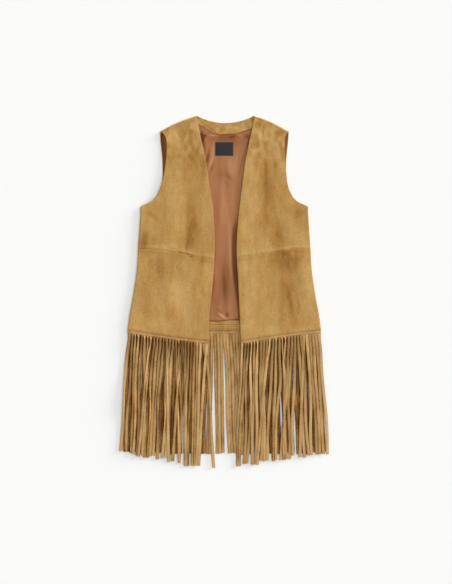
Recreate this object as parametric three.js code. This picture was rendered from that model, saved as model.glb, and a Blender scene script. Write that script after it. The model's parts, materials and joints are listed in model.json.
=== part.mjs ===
// A suede vest with a long cut fringe, laid flat and face up on the surface it rests on.
// Millimetres. +Y runs from hem to neck, +Z up from that surface, and +X to the wearer's left.
// The back lies underneath with its outside down. The two fronts lie on it and join it along the
// side and shoulder seams, where the cloth rolls over from one layer to the other.
import * as THREE from 'three';

// Cloth thicknesses, and the clearance that pieces keep to each other
const SUEDE = 1.3;
const SATIN = 1.0;
const SEAM = 0.3;

// Heights above the surface
const ROLL = 4;            // radius of the folded-over side and shoulder edges
const INSIDE_ROLL = 5;     // layers inside the back end this far in from a rolled edge
const FRONT_TOP = 7.6;     // outer face of a front where it lies plain
const INSIDE = SUEDE + SEAM; // underside of what is sewn to the inside of the back

// Key places of the pattern
const NECK = { x: 74, y: 456.8, centre: 2.8, low: 438.4 };
const TIP = { x: 167.4, y: 415.5 };
const SHOULDER_ROUND = 4;  // how far a shoulder seam bows out of its straight line
const NECK_FADE = 16;      // beside a neck point the shoulder's roll grows over this distance
const SIDE_WAIST = 111;
const SIDE_HEM = -99.5;
const BACK_WAIST = 105;
const BACK_HEM = -101.9;
const UNDERARM = { open: 224, rolled: 206 }; // the side seam's roll grows between these heights
const WAIST_ARCH = 5.5;    // the waist seam bows up, most at two thirds of the way to the side
const SHOULDER_SLOPE = Math.atan2(NECK.y - TIP.y, TIP.x - NECK.x);

// Outer edges, as distances from the centre line: the back's armhole and side seam, and each
// front's, which lies a little inside the back's round the top of the armhole
const EDGES = [
  { y: 415.5, back: 167.4, right: 162.5, left: 165.0 },
  { y: 402.0, back: 166.6, right: 152.8, left: 157.6 },
  { y: 387.0, back: 165.4, right: 149.8, left: 156.5 },
  { y: 365.0, back: 163.0, right: 149.4, left: 156.5 },
  { y: 342.0, back: 161.2, right: 151.8, left: 157.8 },
  { y: 320.0, back: 160.6, right: 154.4, left: 159.8 },
  { y: 300.0, back: 160.8, right: 158.0, left: 161.5 },
  { y: 280.0, back: 163.0, right: 162.9, left: 164.2 },
  { y: 262.0, back: 168.2, right: 169.4, left: 169.4 },
  { y: 249.0, back: 175.0, right: 176.2, left: 176.2 },
  { y: 240.0, back: 182.2, right: 183.2, left: 183.2 },
  { y: 231.0, back: 194.4, right: 195.2, left: 195.2 },
  { y: 225.7, back: 206.6, right: 207.0, left: 207.0 },
  { y: 222.0, back: 215.6, right: 215.8, left: 215.8 },
  { y: 214.0, back: 217.2, right: 217.2, left: 217.2 },
  { y: 200.0, back: 217.9, right: 217.9, left: 217.9 },
  { y: 178.0, back: 219.2, right: 219.2, left: 219.2 },
  { y: 155.0, back: 220.8, right: 220.8, left: 220.8 },
  { y: 133.0, back: 222.4, right: 222.4, left: 222.4 },
  { y: 111.0, back: 223.8, right: 223.8, left: 223.8 },
  { y: 80.0, back: 225.4, right: 225.4, left: 225.4 },
  { y: 45.0, back: 228.6, right: 228.6, left: 228.6 },
  { y: 10.0, back: 233.8, right: 233.8, left: 233.8 },
  { y: -22.0, back: 238.8, right: 238.8, left: 238.8 },
  { y: -55.0, back: 245.2, right: 245.2, left: 245.2 },
  { y: -80.0, back: 248.8, right: 248.8, left: 248.8 },
  { y: -102.0, back: 251.8, right: 251.8, left: 251.8 },
];

// Front edges, as distances from the centre line, from the neck points to the hem
const OPENING = [
  { y: 456.8, right: 71.2, left: 76.8 },
  { y: 430.0, right: 66.5, left: 73.1 },
  { y: 410.0, right: 62.8, left: 69.2 },
  { y: 375.0, right: 55.0, left: 61.3 },
  { y: 332.0, right: 46.2, left: 53.6 },
  { y: 275.0, right: 38.1, left: 45.7 },
  { y: 234.0, right: 31.3, left: 40.6 },
  { y: 190.0, right: 27.0, left: 35.9 },
  { y: 141.0, right: 24.7, left: 32.3 },
  { y: 91.0, right: 25.7, left: 31.9 },
  { y: 42.0, right: 28.3, left: 34.9 },
  { y: 3.0, right: 32.2, left: 36.9 },
  { y: -56.0, right: 38.2, left: 39.6 },
  { y: -128.0, right: 40.6, left: 42.4 },
];

// What differs between the fronts: which way they lie, the ends of their waist and hem seams at
// the front edge, and how far the hem bows
const FRONTS = {
  right: { name: 'right_front', sign: -1, waist: 84.8, hem: -127.9, hemBow: -1.5 },
  left: { name: 'left_front', sign: 1, waist: 90.5, hem: -127.9, hemBow: 2.5 },
};

// Soft folds of each front: a ridge where rise is positive, a trough where it is negative. lean
// is the way its length turns from +Y towards +X, in degrees.
const FOLDS = {
  right: [
    { x: -90, y: 215, length: 95, width: 17, lean: 5, rise: -1.7 },
    { x: -132, y: 205, length: 70, width: 16, lean: -4, rise: 1.3 },
    { x: -98, y: 124, length: 26, width: 7, lean: 3, rise: -1.6 },
    { x: -94, y: 97, length: 15, width: 7, lean: 62, rise: 1.6 },
    { x: -160, y: 68, length: 38, width: 20, lean: 12, rise: -1.5 },
    { x: -74, y: 8, length: 62, width: 24, lean: 6, rise: 1.5 },
    { x: -192, y: 196, length: 17, width: 7, lean: -58, rise: -1.3 },
    { x: -118, y: 396, length: 38, width: 9, lean: -14, rise: -1.2 },
    { x: -200, y: -10, length: 60, width: 18, lean: -8, rise: 1.0 },
    { x: -46, y: 300, length: 80, width: 12, lean: 9, rise: 1.0 },
  ],
  left: [
    { x: 107, y: 330, length: 90, width: 14, lean: -2, rise: -1.7 },
    { x: 142, y: 150, length: 105, width: 15, lean: -15, rise: -2.0 },
    { x: 176, y: 12, length: 56, width: 15, lean: -14, rise: -1.8 },
    { x: 78, y: 40, length: 80, width: 24, lean: -4, rise: 1.5 },
    { x: 46, y: 45, length: 120, width: 13, lean: -1, rise: 2.6 },
    { x: 166, y: 101, length: 15, width: 7, lean: -58, rise: 1.5 },
    { x: 198, y: 202, length: 17, width: 7, lean: 62, rise: -1.4 },
    { x: 128, y: 245, length: 60, width: 13, lean: -12, rise: 1.2 },
    { x: 206, y: 40, length: 70, width: 17, lean: -9, rise: 1.3 },
    { x: 90, y: 400, length: 40, width: 12, lean: 10, rise: 1.0 },
  ],
};

// Soft ridges of the lining, raised in its outer face alone
const LINING_FOLDS = [
  { x: -46, y: 372, length: 34, width: 6, lean: -24, rise: 0.7 },
  { x: -30, y: 300, length: 60, width: 7, lean: 8, rise: 0.6 },
  { x: 18, y: 250, length: 90, width: 8, lean: -4, rise: 0.6 },
  { x: -10, y: 150, length: 80, width: 9, lean: 3, rise: 0.6 },
  { x: 16, y: 30, length: 90, width: 7, lean: 2, rise: 0.7 },
  { x: -12, y: -40, length: 34, width: 6, lean: 6, rise: 0.6 },
  { x: 46, y: 372, length: 30, width: 6, lean: 20, rise: 0.6 },
];

// Inside the back: the neck facing's lower edge, the hem band and the label
const FACING = { low: 409.8, rise: 30, halfWidth: 98 };
const BAND_DEPTH = 24.7;
const LABEL = { x: 0.2, y: 371, width: 46.5, height: 35, thickness: 1.0 };
const EDGE_TURN = 1.5;     // how far the suede's turned edges stand past what lines them

// The lining's own lines: how far above the hem band its foot ends, how much that foot waves, how
// far above it the next row keeps, and the share of its half width at which a last column runs
const LINING_FOOT = { above: 2, wave: 1.5, stretch: 14, clear: 12 };
const LINING_SIDE = 0.8;

// Fringe: the uncut strip under each hem, and its strands
const STRIP_DEPTH = 6;
const STRAND = { root: 7.2, width: 6.6, thickness: 1.2, settle: 0.12, sway: 1.6, lean: 0.85, uneven: 3 };
const LAST_BEND = 0.8;     // share of a strand's length at its last station, where it stays level
const AHEAD = 0.01;        // share of its length over which a strand's direction is measured
const BACK_LAYERS = [0.5, 2.0];    // undersides of the two layers that neighbouring strands lie in
const FRONT_LAYERS = [3.7, 5.2];
const FLOOR_CLEARANCE = 0.5;
const BACK_FRINGE_END = -424;      // strands that reach below this line drop to the surface
const OVERHANG = 8;                // and only those that reach this much below it
const TUCK = { depth: 2, width: 12 }; // a front's strip goes down beside the side seam's roll
const STRIP_INSET = { opening: 0.4, side: 1 }; // how far a strip ends inside the hem's own ends
const SALTS = { right: 4, left: 6, back: 11 }; // each fringe has its own repeatable numbers

// Clumps in which the strands lie, from the side seam to the front edge: how many, where their
// ends are, from the centre line and in height, and how far apart the ends lie. Where lean is
// given, a higher one keeps the strands straight for longer before they turn aside.
const CLUMPS = {
  right: [
    { strands: 2, x: 261.4, y: -413, apart: 11.0 },
    { strands: 2, x: 241.0, y: -418, apart: 8.4 },
    { strands: 3, x: 219.5, y: -424, apart: 6.8 },
    { strands: 2, x: 201.5, y: -428, apart: 5.4 },
    { strands: 2, x: 185.4, y: -423, apart: 7.6 },
    { strands: 1, x: 170.0, y: -433, apart: 0 },
    { strands: 2, x: 156.0, y: -430, apart: 6.0 },
    { strands: 2, x: 137.5, y: -438, apart: 8.4 },
    { strands: 2, x: 118.0, y: -442, apart: 5.6 },
    { strands: 7, x: 84.5, y: -449, apart: 6.2 },
    { strands: 1, x: 27.8, y: -454.6, apart: 0, lean: 2.2 },
  ],
  left: [
    { strands: 2, x: 262.4, y: -419, apart: 9.4 },
    { strands: 2, x: 243.8, y: -421, apart: 7.6 },
    { strands: 2, x: 221.8, y: -421, apart: 8.4 },
    { strands: 2, x: 200.6, y: -428, apart: 8.4 },
    { strands: 1, x: 176.8, y: -422, apart: 0 },
    { strands: 2, x: 165.0, y: -432, apart: 5.4 },
    { strands: 2, x: 149.0, y: -434, apart: 5.4 },
    { strands: 2, x: 129.7, y: -436, apart: 5.6 },
    { strands: 2, x: 111.4, y: -437, apart: 6.0 },
    { strands: 2, x: 97.0, y: -436, apart: 5.6 },
    { strands: 3, x: 79.2, y: -446, apart: 5.6 },
    { strands: 2, x: 57.4, y: -444, apart: 8.2 },
    { strands: 2, x: 38.4, y: -452, apart: 8.0 },
  ],
  // the back's, from -X to +X, with x measured along +X
  back: [
    { strands: 5, x: -244, y: -414, apart: 7.2 },
    { strands: 5, x: -203, y: -419, apart: 7.4 },
    { strands: 4, x: -166, y: -416, apart: 6.8 },
    { strands: 5, x: -128, y: -420, apart: 7.6 },
    { strands: 4, x: -91, y: -417, apart: 7.2 },
    { strands: 5, x: -51, y: -419, apart: 6.8 },
    { strands: 3, x: -11, y: -418, apart: 7.6 },
    { strands: 3, x: 21.4, y: -418, apart: 7.2 },
    { strands: 6, x: 56, y: -420, apart: 7.0 },
    { strands: 4, x: 93, y: -417, apart: 7.0 },
    { strands: 5, x: 131, y: -419, apart: 7.4 },
    { strands: 4, x: 168, y: -416, apart: 7.2 },
    { strands: 5, x: 206, y: -419, apart: 7.2 },
    { strands: 5, x: 246, y: -415, apart: 7.2 },
  ],
};

// Finishes
const SUEDE_FACE = new THREE.MeshStandardMaterial({ color: 0xbb9557, roughness: 0.95, metalness: 0 });
const SUEDE_BACK = new THREE.MeshStandardMaterial({ color: 0xb58d53, roughness: 0.95, metalness: 0 });
const FRINGE_SUEDE = new THREE.MeshStandardMaterial({ color: 0xb08d57, roughness: 0.95, metalness: 0 });
const SATIN_LINING = new THREE.MeshStandardMaterial({ color: 0x9d6640, roughness: 0.55, metalness: 0 });
const WOVEN_LABEL = new THREE.MeshStandardMaterial({ color: 0x2b2c30, roughness: 0.8, metalness: 0 });

// Numbers that the pattern is worked out with
const mix = (a, b, t) => a + (b - a) * t;
const clamp01 = (t) => Math.min(1, Math.max(0, t));
const smooth = (t) => clamp01(t) ** 2 * (3 - 2 * clamp01(t));
const radians = (degrees) => (degrees * Math.PI) / 180;
const steps = (count) => Array.from({ length: count + 1 }, (_, i) => i / count);

// One column of a table at a height, on a smooth curve through its rows
function column(table, name, y) {
  const last = table.length - 1;
  let i = table.findIndex((row) => row.y <= y);
  i = i < 0 ? last : Math.max(1, i);
  const rows = [table[Math.max(0, i - 2)], table[i - 1], table[i], table[Math.min(last, i + 1)]];
  const [before, from, to, after] = rows;
  const slope = (a, b) => (a === b ? 0 : (b[name] - a[name]) / (b.y - a.y));
  const span = to.y - from.y;
  const t = clamp01((y - from.y) / span);
  const slopeFrom = (slope(before, from) + slope(from, to)) / (before === from ? 1 : 2);
  const slopeTo = (slope(from, to) + slope(to, after)) / (to === after ? 1 : 2);
  return (
    from[name] * (2 * t ** 3 - 3 * t ** 2 + 1) + to[name] * (3 * t ** 2 - 2 * t ** 3) +
    slopeFrom * span * (t ** 3 - 2 * t ** 2 + t) + slopeTo * span * (t ** 3 - t ** 2)
  );
}

// Summed height of a table of folds at a place
function foldHeight(folds, x, y) {
  let height = 0;
  for (const fold of folds) {
    const lean = radians(fold.lean);
    const along = (x - fold.x) * Math.sin(lean) + (y - fold.y) * Math.cos(lean);
    const across = (x - fold.x) * Math.cos(lean) - (y - fold.y) * Math.sin(lean);
    height += fold.rise * Math.exp(-((along / fold.length) ** 2) - (across / fold.width) ** 2);
  }
  return height;
}

const frontHeight = (side, x, y) => FRONT_TOP + foldHeight(FOLDS[side], x, y);
const sideRoll = (y) => smooth((UNDERARM.open - y) / (UNDERARM.open - UNDERARM.rolled));

// The garment's top line: the neckline's dip between the neck points, then the shoulder seams
function topLine(x) {
  const fromCentre = Math.abs(x - NECK.centre);
  if (fromCentre <= NECK.x) return mix(NECK.low, NECK.y, (fromCentre / NECK.x) ** 2);
  const neckX = NECK.x + Math.sign(x) * NECK.centre;
  const t = clamp01((Math.abs(x) - neckX) / (TIP.x - neckX));
  return mix(NECK.y, TIP.y, t) + SHOULDER_ROUND * Math.sin(Math.PI * t);
}

// How far the top line rolls over: wholly along a shoulder seam, and not at all round the neck
function shoulderRoll(x) {
  return smooth((Math.abs(x - NECK.centre) - NECK.x + NECK_FADE) / NECK_FADE);
}

const HALF_WAIST = column(EDGES, 'back', SIDE_WAIST);
const HALF_HEM = EDGES.at(-1).back;
const backWaist = (x) => BACK_WAIST + (SIDE_WAIST - BACK_WAIST) * (x / HALF_WAIST) ** 2;
const backHem = (x) => BACK_HEM + (SIDE_HEM - BACK_HEM) * (x / HALF_HEM) ** 2;
const facingEdge = (x) => FACING.low + FACING.rise * (x / FACING.halfWidth) ** 2;

// A roll's stations, as the angle that the cloth has turned by there and the distance to the edge
const ROLL_STATIONS = [0, 30, 60, 90].map((degrees) => {
  const turn = radians(degrees);
  return { turn, inset: ROLL * (1 - Math.sin(turn)) };
});

// A face point that may roll over at the side and at the top. rise is the cloth's height above
// the seam's own height, and the normal turns with the cloth.
function rolledPoint(x, y, seamZ, rise, flatNormal, side, top) {
  const keep = (roll) => 1 - roll.weight * (1 - Math.cos(roll.turn));
  const z = seamZ + rise * keep(side) * keep(top);
  const normal = flatNormal.clone();
  for (const roll of [side, top]) {
    const out = roll.weight * Math.sin(roll.turn) ** 2;
    const up = Math.max(Math.cos(roll.turn), 1 - roll.weight);
    normal.multiplyScalar(up).addScaledVector(roll.out, out);
  }
  return { point: new THREE.Vector3(x, y, z), normal: normal.normalize() };
}

// A closed wall from a grid of face points with their normals, with its inner face behind them.
// lift moves the outer face out, so that a fold is raised over a plain inside.
function wall(name, material, grid, thickness, lift = () => 0) {
  const rows = grid.length;
  const columns = grid[0].length;
  const positions = [];
  for (const depth of [0, thickness]) {
    for (const row of grid) {
      for (const { point, normal } of row) {
        const offset = depth > 0 ? -depth : lift(point);
        positions.push(...point.clone().addScaledVector(normal, offset).toArray());
      }
    }
  }
  const inner = rows * columns;
  const at = (r, c) => r * columns + c;
  const index = [];
  const quad = (a, b, c, d) => index.push(a, b, c, a, c, d);
  for (let r = 0; r < rows - 1; r++) {
    for (let c = 0; c < columns - 1; c++) {
      quad(at(r, c), at(r + 1, c), at(r + 1, c + 1), at(r, c + 1));
      quad(inner + at(r, c), inner + at(r, c + 1), inner + at(r + 1, c + 1), inner + at(r + 1, c));
    }
  }
  const rim = [];
  for (let c = 0; c < columns - 1; c++) rim.push(at(0, c));
  for (let r = 0; r < rows - 1; r++) rim.push(at(r, columns - 1));
  for (let c = columns - 1; c > 0; c--) rim.push(at(rows - 1, c));
  for (let r = rows - 1; r > 0; r--) rim.push(at(r, 0));
  rim.forEach((a, i) => {
    const b = rim[(i + 1) % rim.length];
    quad(a, b, inner + b, inner + a);
  });
  return closedMesh(name, material, positions, index);
}

// A mesh whose faces point outwards, whichever way round its grid was numbered
function closedMesh(name, material, positions, index) {
  const corner = (i) => new THREE.Vector3().fromArray(positions, 3 * index[i]);
  let volume = 0;
  for (let i = 0; i < index.length; i += 3) volume += corner(i).dot(corner(i + 1).cross(corner(i + 2)));
  if (volume < 0) index.reverse();
  const geometry = new THREE.BufferGeometry();
  geometry.setAttribute('position', new THREE.Float32BufferAttribute(positions, 3));
  geometry.setIndex(index);
  geometry.computeVertexNormals();
  const mesh = new THREE.Mesh(geometry, material);
  mesh.name = name;
  return mesh;
}

// Columns of a front, as the share of its width from the front edge: even stretches, then the
// side's roll, whose stations are given as distances from the edge
const FRONT_COLUMNS = [
  ...steps(9).slice(0, -1).map((share) => ({ share, turn: 0, inset: 0 })),
  ...ROLL_STATIONS.map(({ turn, inset }) => ({ share: 1, turn, inset })),
];

const PROBE = 0.5;         // distance over which a front's slope is measured

// One point of a front. row has the heights of its two ends, how far it still bows like the
// shoulder seam, its own bow, and the turn and inset of the shoulder's roll.
function frontPoint(side, row, { share, turn, inset }) {
  const { sign } = FRONTS[side];
  const innerX = column(OPENING, side, row.inner - row.inset);
  const outerX = column(EDGES, side, row.outer - row.inset);
  const width = outerX - innerX;
  const reach = share * (1 - ROLL / width) + (share === 1 ? (ROLL - inset) / width : 0);
  const x = sign * (innerX + width * reach);
  const bow = row.bow * SHOULDER_ROUND * Math.sin(Math.PI * reach);
  const arch = row.arch * WAIST_ARCH * Math.sin(Math.PI * reach ** 2);
  const hem = row.hem * FRONTS[side].hemBow * Math.sin(Math.PI * reach);
  const y = mix(row.inner, row.outer, reach) + bow + arch + hem - row.inset / Math.cos(SHOULDER_SLOPE);
  const flatNormal = new THREE.Vector3(
    frontHeight(side, x - PROBE, y) - frontHeight(side, x + PROBE, y),
    frontHeight(side, x, y - PROBE) - frontHeight(side, x, y + PROBE),
    2 * PROBE,
  ).normalize();
  const seamZ = ROLL + SEAM / 2;
  const sideEdge = { turn, weight: sideRoll(row.outer), out: new THREE.Vector3(sign, 0, 0) };
  const slope = new THREE.Vector3(sign * Math.sin(SHOULDER_SLOPE), Math.cos(SHOULDER_SLOPE), 0);
  const topEdge = { turn: row.turn, weight: 1, out: slope };
  return rolledPoint(x, y, seamZ, frontHeight(side, x, y) - seamZ, flatNormal, sideEdge, topEdge);
}

// Rows of a front above the waist seam: the shoulder's roll, then the edge table's own heights
function upperRows(side) {
  const plain = { inset: 0, turn: 0, arch: 0, bow: 0, hem: 0 };
  const roll = [...ROLL_STATIONS].reverse().map(({ turn, inset }) => (
    { ...plain, inner: NECK.y, outer: TIP.y, bow: 1, turn, inset }));
  const down = EDGES.filter(({ y }) => y < TIP.y && y >= SIDE_WAIST).map(({ y }) => {
    const t = (TIP.y - y) / (TIP.y - SIDE_WAIST);
    const inner = mix(NECK.y, FRONTS[side].waist, t);
    return { ...plain, inner, outer: y, bow: (1 - t) ** 6, arch: t ** 6 };
  });
  return [...roll, ...down];
}

function lowerRows(side) {
  const { waist, hem } = FRONTS[side];
  return steps(7).map((t) => ({
    inner: mix(waist - SEAM, hem, t), outer: mix(SIDE_WAIST - SEAM, SIDE_HEM, t),
    inset: 0, turn: 0, bow: 0, arch: (1 - t) ** 2, hem: t ** 2,
  }));
}

function frontPanel(side, part, rows) {
  const grid = rows.map((row) => FRONT_COLUMNS.map((place) => frontPoint(side, row, place)));
  return wall(`${FRONTS[side].name}_${part}`, SUEDE_FACE, grid, SUEDE);
}

// Columns of the back, as the share of its half width at the shoulder tips, with the side's roll.
// One of them runs down from the neck point.
const BACK_STATIONS = [0, 30, 57, NECK.x + NECK.centre, 112];
const BACK_HALF = [
  ...BACK_STATIONS.map((x) => ({ share: x / (TIP.x - ROLL), turn: 0, inset: 0 })),
  ...ROLL_STATIONS.map(({ turn, inset }) => ({ share: 1, turn, inset })),
];
const BACK_COLUMNS = [
  ...BACK_HALF.slice(1).reverse().map((place) => ({ ...place, sign: -1 })),
  ...BACK_HALF.map((place) => ({ ...place, sign: 1 })),
];

// One point of the back's outer face, which looks down. t is how far its row lies from the top
// line, where it follows that line, to the waist, where it follows the waist seam.
function backPoint({ y, t, turn, inset }, place) {
  const edge = column(EDGES, 'back', y);
  const tipX = place.sign * (place.share * (TIP.x - ROLL) + (place.share === 1 ? ROLL - place.inset : 0));
  const x = place.sign * (place.share * (edge - ROLL) + (place.share === 1 ? ROLL - place.inset : 0));
  const top = topLine(tipX) - TIP.y;
  const level = y + top * (1 - t) ** 2 + (t > 0 ? (backWaist(x) - SIDE_WAIST) * t ** 4 : 0);
  const sideEdge = { turn: place.turn, weight: sideRoll(y), out: new THREE.Vector3(place.sign, 0, 0) };
  const slope = new THREE.Vector3(place.sign * Math.sin(SHOULDER_SLOPE), Math.cos(SHOULDER_SLOPE), 0);
  const topEdge = { turn, weight: shoulderRoll(tipX), out: slope };
  const seamZ = ROLL - SEAM / 2;
  const down = new THREE.Vector3(0, 0, -1);
  return rolledPoint(x, level - inset / Math.cos(SHOULDER_SLOPE), seamZ, -seamZ, down, sideEdge, topEdge);
}

function backUpper() {
  const roll = [...ROLL_STATIONS].reverse().map(({ turn, inset }) => ({ y: TIP.y, t: 0, turn, inset }));
  const heights = EDGES.filter(({ y }) => y < TIP.y && y >= SIDE_WAIST).map(({ y }) => y);
  const down = heights.map((y) => ({ y, t: (TIP.y - y) / (TIP.y - SIDE_WAIST), turn: 0, inset: 0 }));
  const grid = [...roll, ...down].map((row) => BACK_COLUMNS.map((place) => backPoint(row, place)));
  return wall('back_upper', SUEDE_BACK, grid, SUEDE);
}

// The back below its waist seam, down to the hem
function backLower() {
  const grid = steps(5).map((t) => BACK_COLUMNS.map((place) => {
    const y = mix(SIDE_WAIST - SEAM, SIDE_HEM, t);
    const { point, normal } = backPoint({ y, t: 1, turn: 0, inset: 0 }, place);
    point.y = mix(backWaist(point.x) - SEAM, backHem(point.x), t);
    return { point, normal };
  }));
  return wall('back_lower', SUEDE_BACK, grid, SUEDE);
}

// A flat layer sewn to the inside of the back, between a top and a bottom line, to side edges
function insideLayer(name, material, thickness, shape, lift) {
  const up = new THREE.Vector3(0, 0, 1);
  const grid = shape.rows.map((t) => shape.columns.map((share) => {
    const edge = shape.edge(mix(shape.topAt, shape.bottomAt, t));
    const top = shape.top(share * shape.edge(shape.topAt));
    const x = share * edge;
    const y = mix(top, shape.bottom(x), t);
    return { point: new THREE.Vector3(x, y, INSIDE + thickness), normal: up };
  }));
  return wall(name, material, grid, thickness, lift);
}

// The lining's side edge keeps inside the armhole's turned edge and inside the side's roll
function liningEdge(y) {
  return column(EDGES, 'back', y) - EDGE_TURN - sideRoll(y) * INSIDE_ROLL;
}

const insideTop = (x) => topLine(x) - EDGE_TURN - shoulderRoll(x) * INSIDE_ROLL;
const evenly = (count) => steps(count).map((t) => 2 * t - 1);
const FACING_COLUMNS = evenly(14);

function lining() {
  const heights = EDGES.filter((_, i) => i % 2 === 1).map(({ y }) => y);
  const topAt = TIP.y - ROLL - EDGE_TURN;
  const bottomAt = BACK_HEM + BAND_DEPTH;
  const between = heights.filter((y) => y < topAt && y > bottomAt + LINING_FOOT.clear);
  const rows = [0, ...between.map((y) => (topAt - y) / (topAt - bottomAt)), 1];
  // under the facing the lining has the facing's own columns, so that their edges match
  const across = FACING_COLUMNS.map((share) => share * FACING.halfWidth / liningEdge(topAt));
  const shape = {
    rows, columns: [-1, -LINING_SIDE, ...across, LINING_SIDE, 1], edge: liningEdge, topAt, bottomAt,
    top: (x) => Math.min(facingEdge(x) - SEAM, insideTop(x)),
    bottom: (x) => bottomAt + LINING_FOOT.above + LINING_FOOT.wave * Math.sin(x / LINING_FOOT.stretch),
  };
  return insideLayer('lining', SATIN_LINING, SATIN, shape, ({ x, y }) => foldHeight(LINING_FOLDS, x, y));
}

function neckFacing() {
  const shape = {
    rows: steps(2), columns: FACING_COLUMNS, edge: () => FACING.halfWidth,
    topAt: NECK.y, bottomAt: FACING.low, top: insideTop, bottom: facingEdge,
  };
  return insideLayer('neck_facing', SUEDE_FACE, SUEDE, shape);
}

function hemBand() {
  const edge = () => liningEdge(BACK_HEM + BAND_DEPTH);
  const shape = {
    rows: [0, 1], columns: evenly(10), edge, topAt: BACK_HEM + BAND_DEPTH, bottomAt: BACK_HEM,
    top: () => BACK_HEM + BAND_DEPTH, bottom: (x) => backHem(x) + EDGE_TURN,
  };
  return insideLayer('hem_band', SUEDE_FACE, SUEDE, shape);
}

function label() {
  const geometry = new THREE.BoxGeometry(LABEL.width, LABEL.height, LABEL.thickness);
  const mesh = new THREE.Mesh(geometry, WOVEN_LABEL);
  mesh.position.set(LABEL.x, LABEL.y, INSIDE + SATIN + SEAM + LABEL.thickness / 2);
  mesh.name = 'label';
  return mesh;
}

// A repeatable number from 0 to 1 for each strand
function scatter(i, salt) {
  const value = Math.sin(i * 12.9898 + salt * 78.233) * 43758.5453;
  return value - Math.floor(value);
}

// Where each strand of a fringe ends, from its clumps
function strandEnds(clumps, sign) {
  return clumps.flatMap(({ strands, x, y, apart, lean = STRAND.lean }) => (
    Array.from({ length: strands }, (_, k) => {
      const offset = (k - (strands - 1) / 2) * apart;
      return { x: sign * (x - offset), y, lean };
    })));
}

// A fringe: one strip under a hem line, cut into strands that hang on from its lower edge.
// hem gives the strip's upper edge and face height at a distance x along the hem.
function fringe(name, { from, to, ends, hem, layers, salt }) {
  const count = ends.length;
  const pitch = (to - from) / count;
  const positions = [];
  const index = [];
  const vertex = (x, y, z) => positions.push(x, y, z) / 3 - 1;
  const quad = (a, b, c, d) => index.push(a, b, c, a, c, d);
  let before = null;
  ends.forEach((clumpEnd, i) => {
    const end = { ...clumpEnd, y: clumpEnd.y - STRAND.uneven * scatter(i, salt + 1) };
    const middle = from + (i + 0.5) * pitch;
    const cut = [-0.5, 0.5].map((half) => {
      const x = middle + half * STRAND.root;
      const { y, z } = hem(x);
      const low = y - STRIP_DEPTH;
      const under = z - SUEDE;
      return { a: vertex(x, y, z), b: vertex(x, y, under), c: vertex(x, low, z), d: vertex(x, low, under) };
    });
    const [l, r] = cut;
    if (before) {
      quad(before.a, l.a, l.b, before.b);
      quad(before.a, before.c, l.c, l.a);
      quad(before.b, l.b, l.d, before.d);
      quad(before.c, before.d, l.d, l.c);
    } else quad(l.a, l.b, l.d, l.c);
    quad(l.a, r.a, r.b, l.b);
    quad(l.a, l.c, r.c, r.a);
    quad(l.b, r.b, r.d, l.d);
    const root = { x: middle, y: hem(middle).y - STRIP_DEPTH, z: hem(middle).z - SUEDE / 2 };
    hangStrand([l.c, r.c, r.d, l.d], root, end, i, { layers, salt, vertex, quad });
    if (i === count - 1) quad(r.a, r.c, r.d, r.b);
    before = r;
  });
  return closedMesh(name, FRINGE_SUEDE, positions, index);
}

// The middle of a strand at a share t of its length: it sways a little, settles into its layer,
// and past the ends of the strands below it comes down to the surface
function strandMiddle(root, end, i, t, { layers, salt }) {
  const sway = STRAND.sway * (2 * scatter(i, salt) - 1) * Math.sin(2 * Math.PI * t) * smooth(t * 2);
  const x = mix(root.x, end.x, t ** end.lean) + sway;
  const y = mix(root.y, end.y, t);
  const layer = layers[i % 2] + STRAND.thickness / 2;
  const lying = mix(root.z, layer, smooth(t / STRAND.settle));
  const down = layer - layers[0] + FLOOR_CLEARANCE;
  const past = clamp01((BACK_FRINGE_END - y) / (BACK_FRINGE_END - end.y));
  return new THREE.Vector3(x, y, comesDown(end, layers) ? mix(lying, down, past) : lying);
}

const comesDown = (end, layers) => layers === FRONT_LAYERS && end.y < BACK_FRINGE_END - OVERHANG;

function hangStrand(rootRing, root, end, i, { layers, salt, vertex, quad }) {
  const landing = comesDown(end, layers) ? (root.y - BACK_FRINGE_END) / (root.y - end.y) : LAST_BEND;
  const even = [1 / 3, 2 / 3].map((t) => mix(STRAND.settle, landing, t));
  let ring = rootRing;
  for (const t of [STRAND.settle / 2, STRAND.settle, ...even, landing, 1]) {
    const middle = strandMiddle(root, end, i, t, { layers, salt });
    const ahead = strandMiddle(root, end, i, t + AHEAD, { layers, salt }).sub(middle);
    const across = new THREE.Vector3(-ahead.y, ahead.x, 0).setLength(STRAND.width / 2);
    const half = STRAND.thickness / 2;
    const corner = (side, up) => {
      const { x, y, z } = middle.clone().addScaledVector(across, side);
      return vertex(x, y, z + up);
    };
    const next = [corner(-1, half), corner(1, half), corner(1, -half), corner(-1, -half)];
    ring.forEach((a, k) => quad(a, next[k], next[(k + 1) % 4], ring[(k + 1) % 4]));
    ring = next;
  }
  quad(...ring.reverse());
}

function frontFringe(side) {
  const { sign, name, hem: innerHem, hemBow } = FRONTS[side];
  const innerX = column(OPENING, side, innerHem);
  const outerX = column(EDGES, side, SIDE_HEM);
  const hem = (x) => {
    const reach = (sign * x - innerX) / (outerX - innerX);
    const y = mix(innerHem, SIDE_HEM, reach) + hemBow * Math.sin(Math.PI * reach) - SEAM;
    const tucked = TUCK.depth * smooth((sign * x - outerX + TUCK.width) / TUCK.width);
    return { y, z: frontHeight(side, x, y) - tucked };
  };
  const ends = strandEnds(CLUMPS[side], sign);
  if (sign > 0) ends.reverse();
  const limits = [sign * (innerX + STRIP_INSET.opening), sign * (outerX - STRIP_INSET.side)];
  const [from, to] = limits.sort((a, b) => a - b);
  return fringe(`${name}_fringe`, { from, to, ends, hem, layers: FRONT_LAYERS, salt: SALTS[side] });
}

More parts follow.
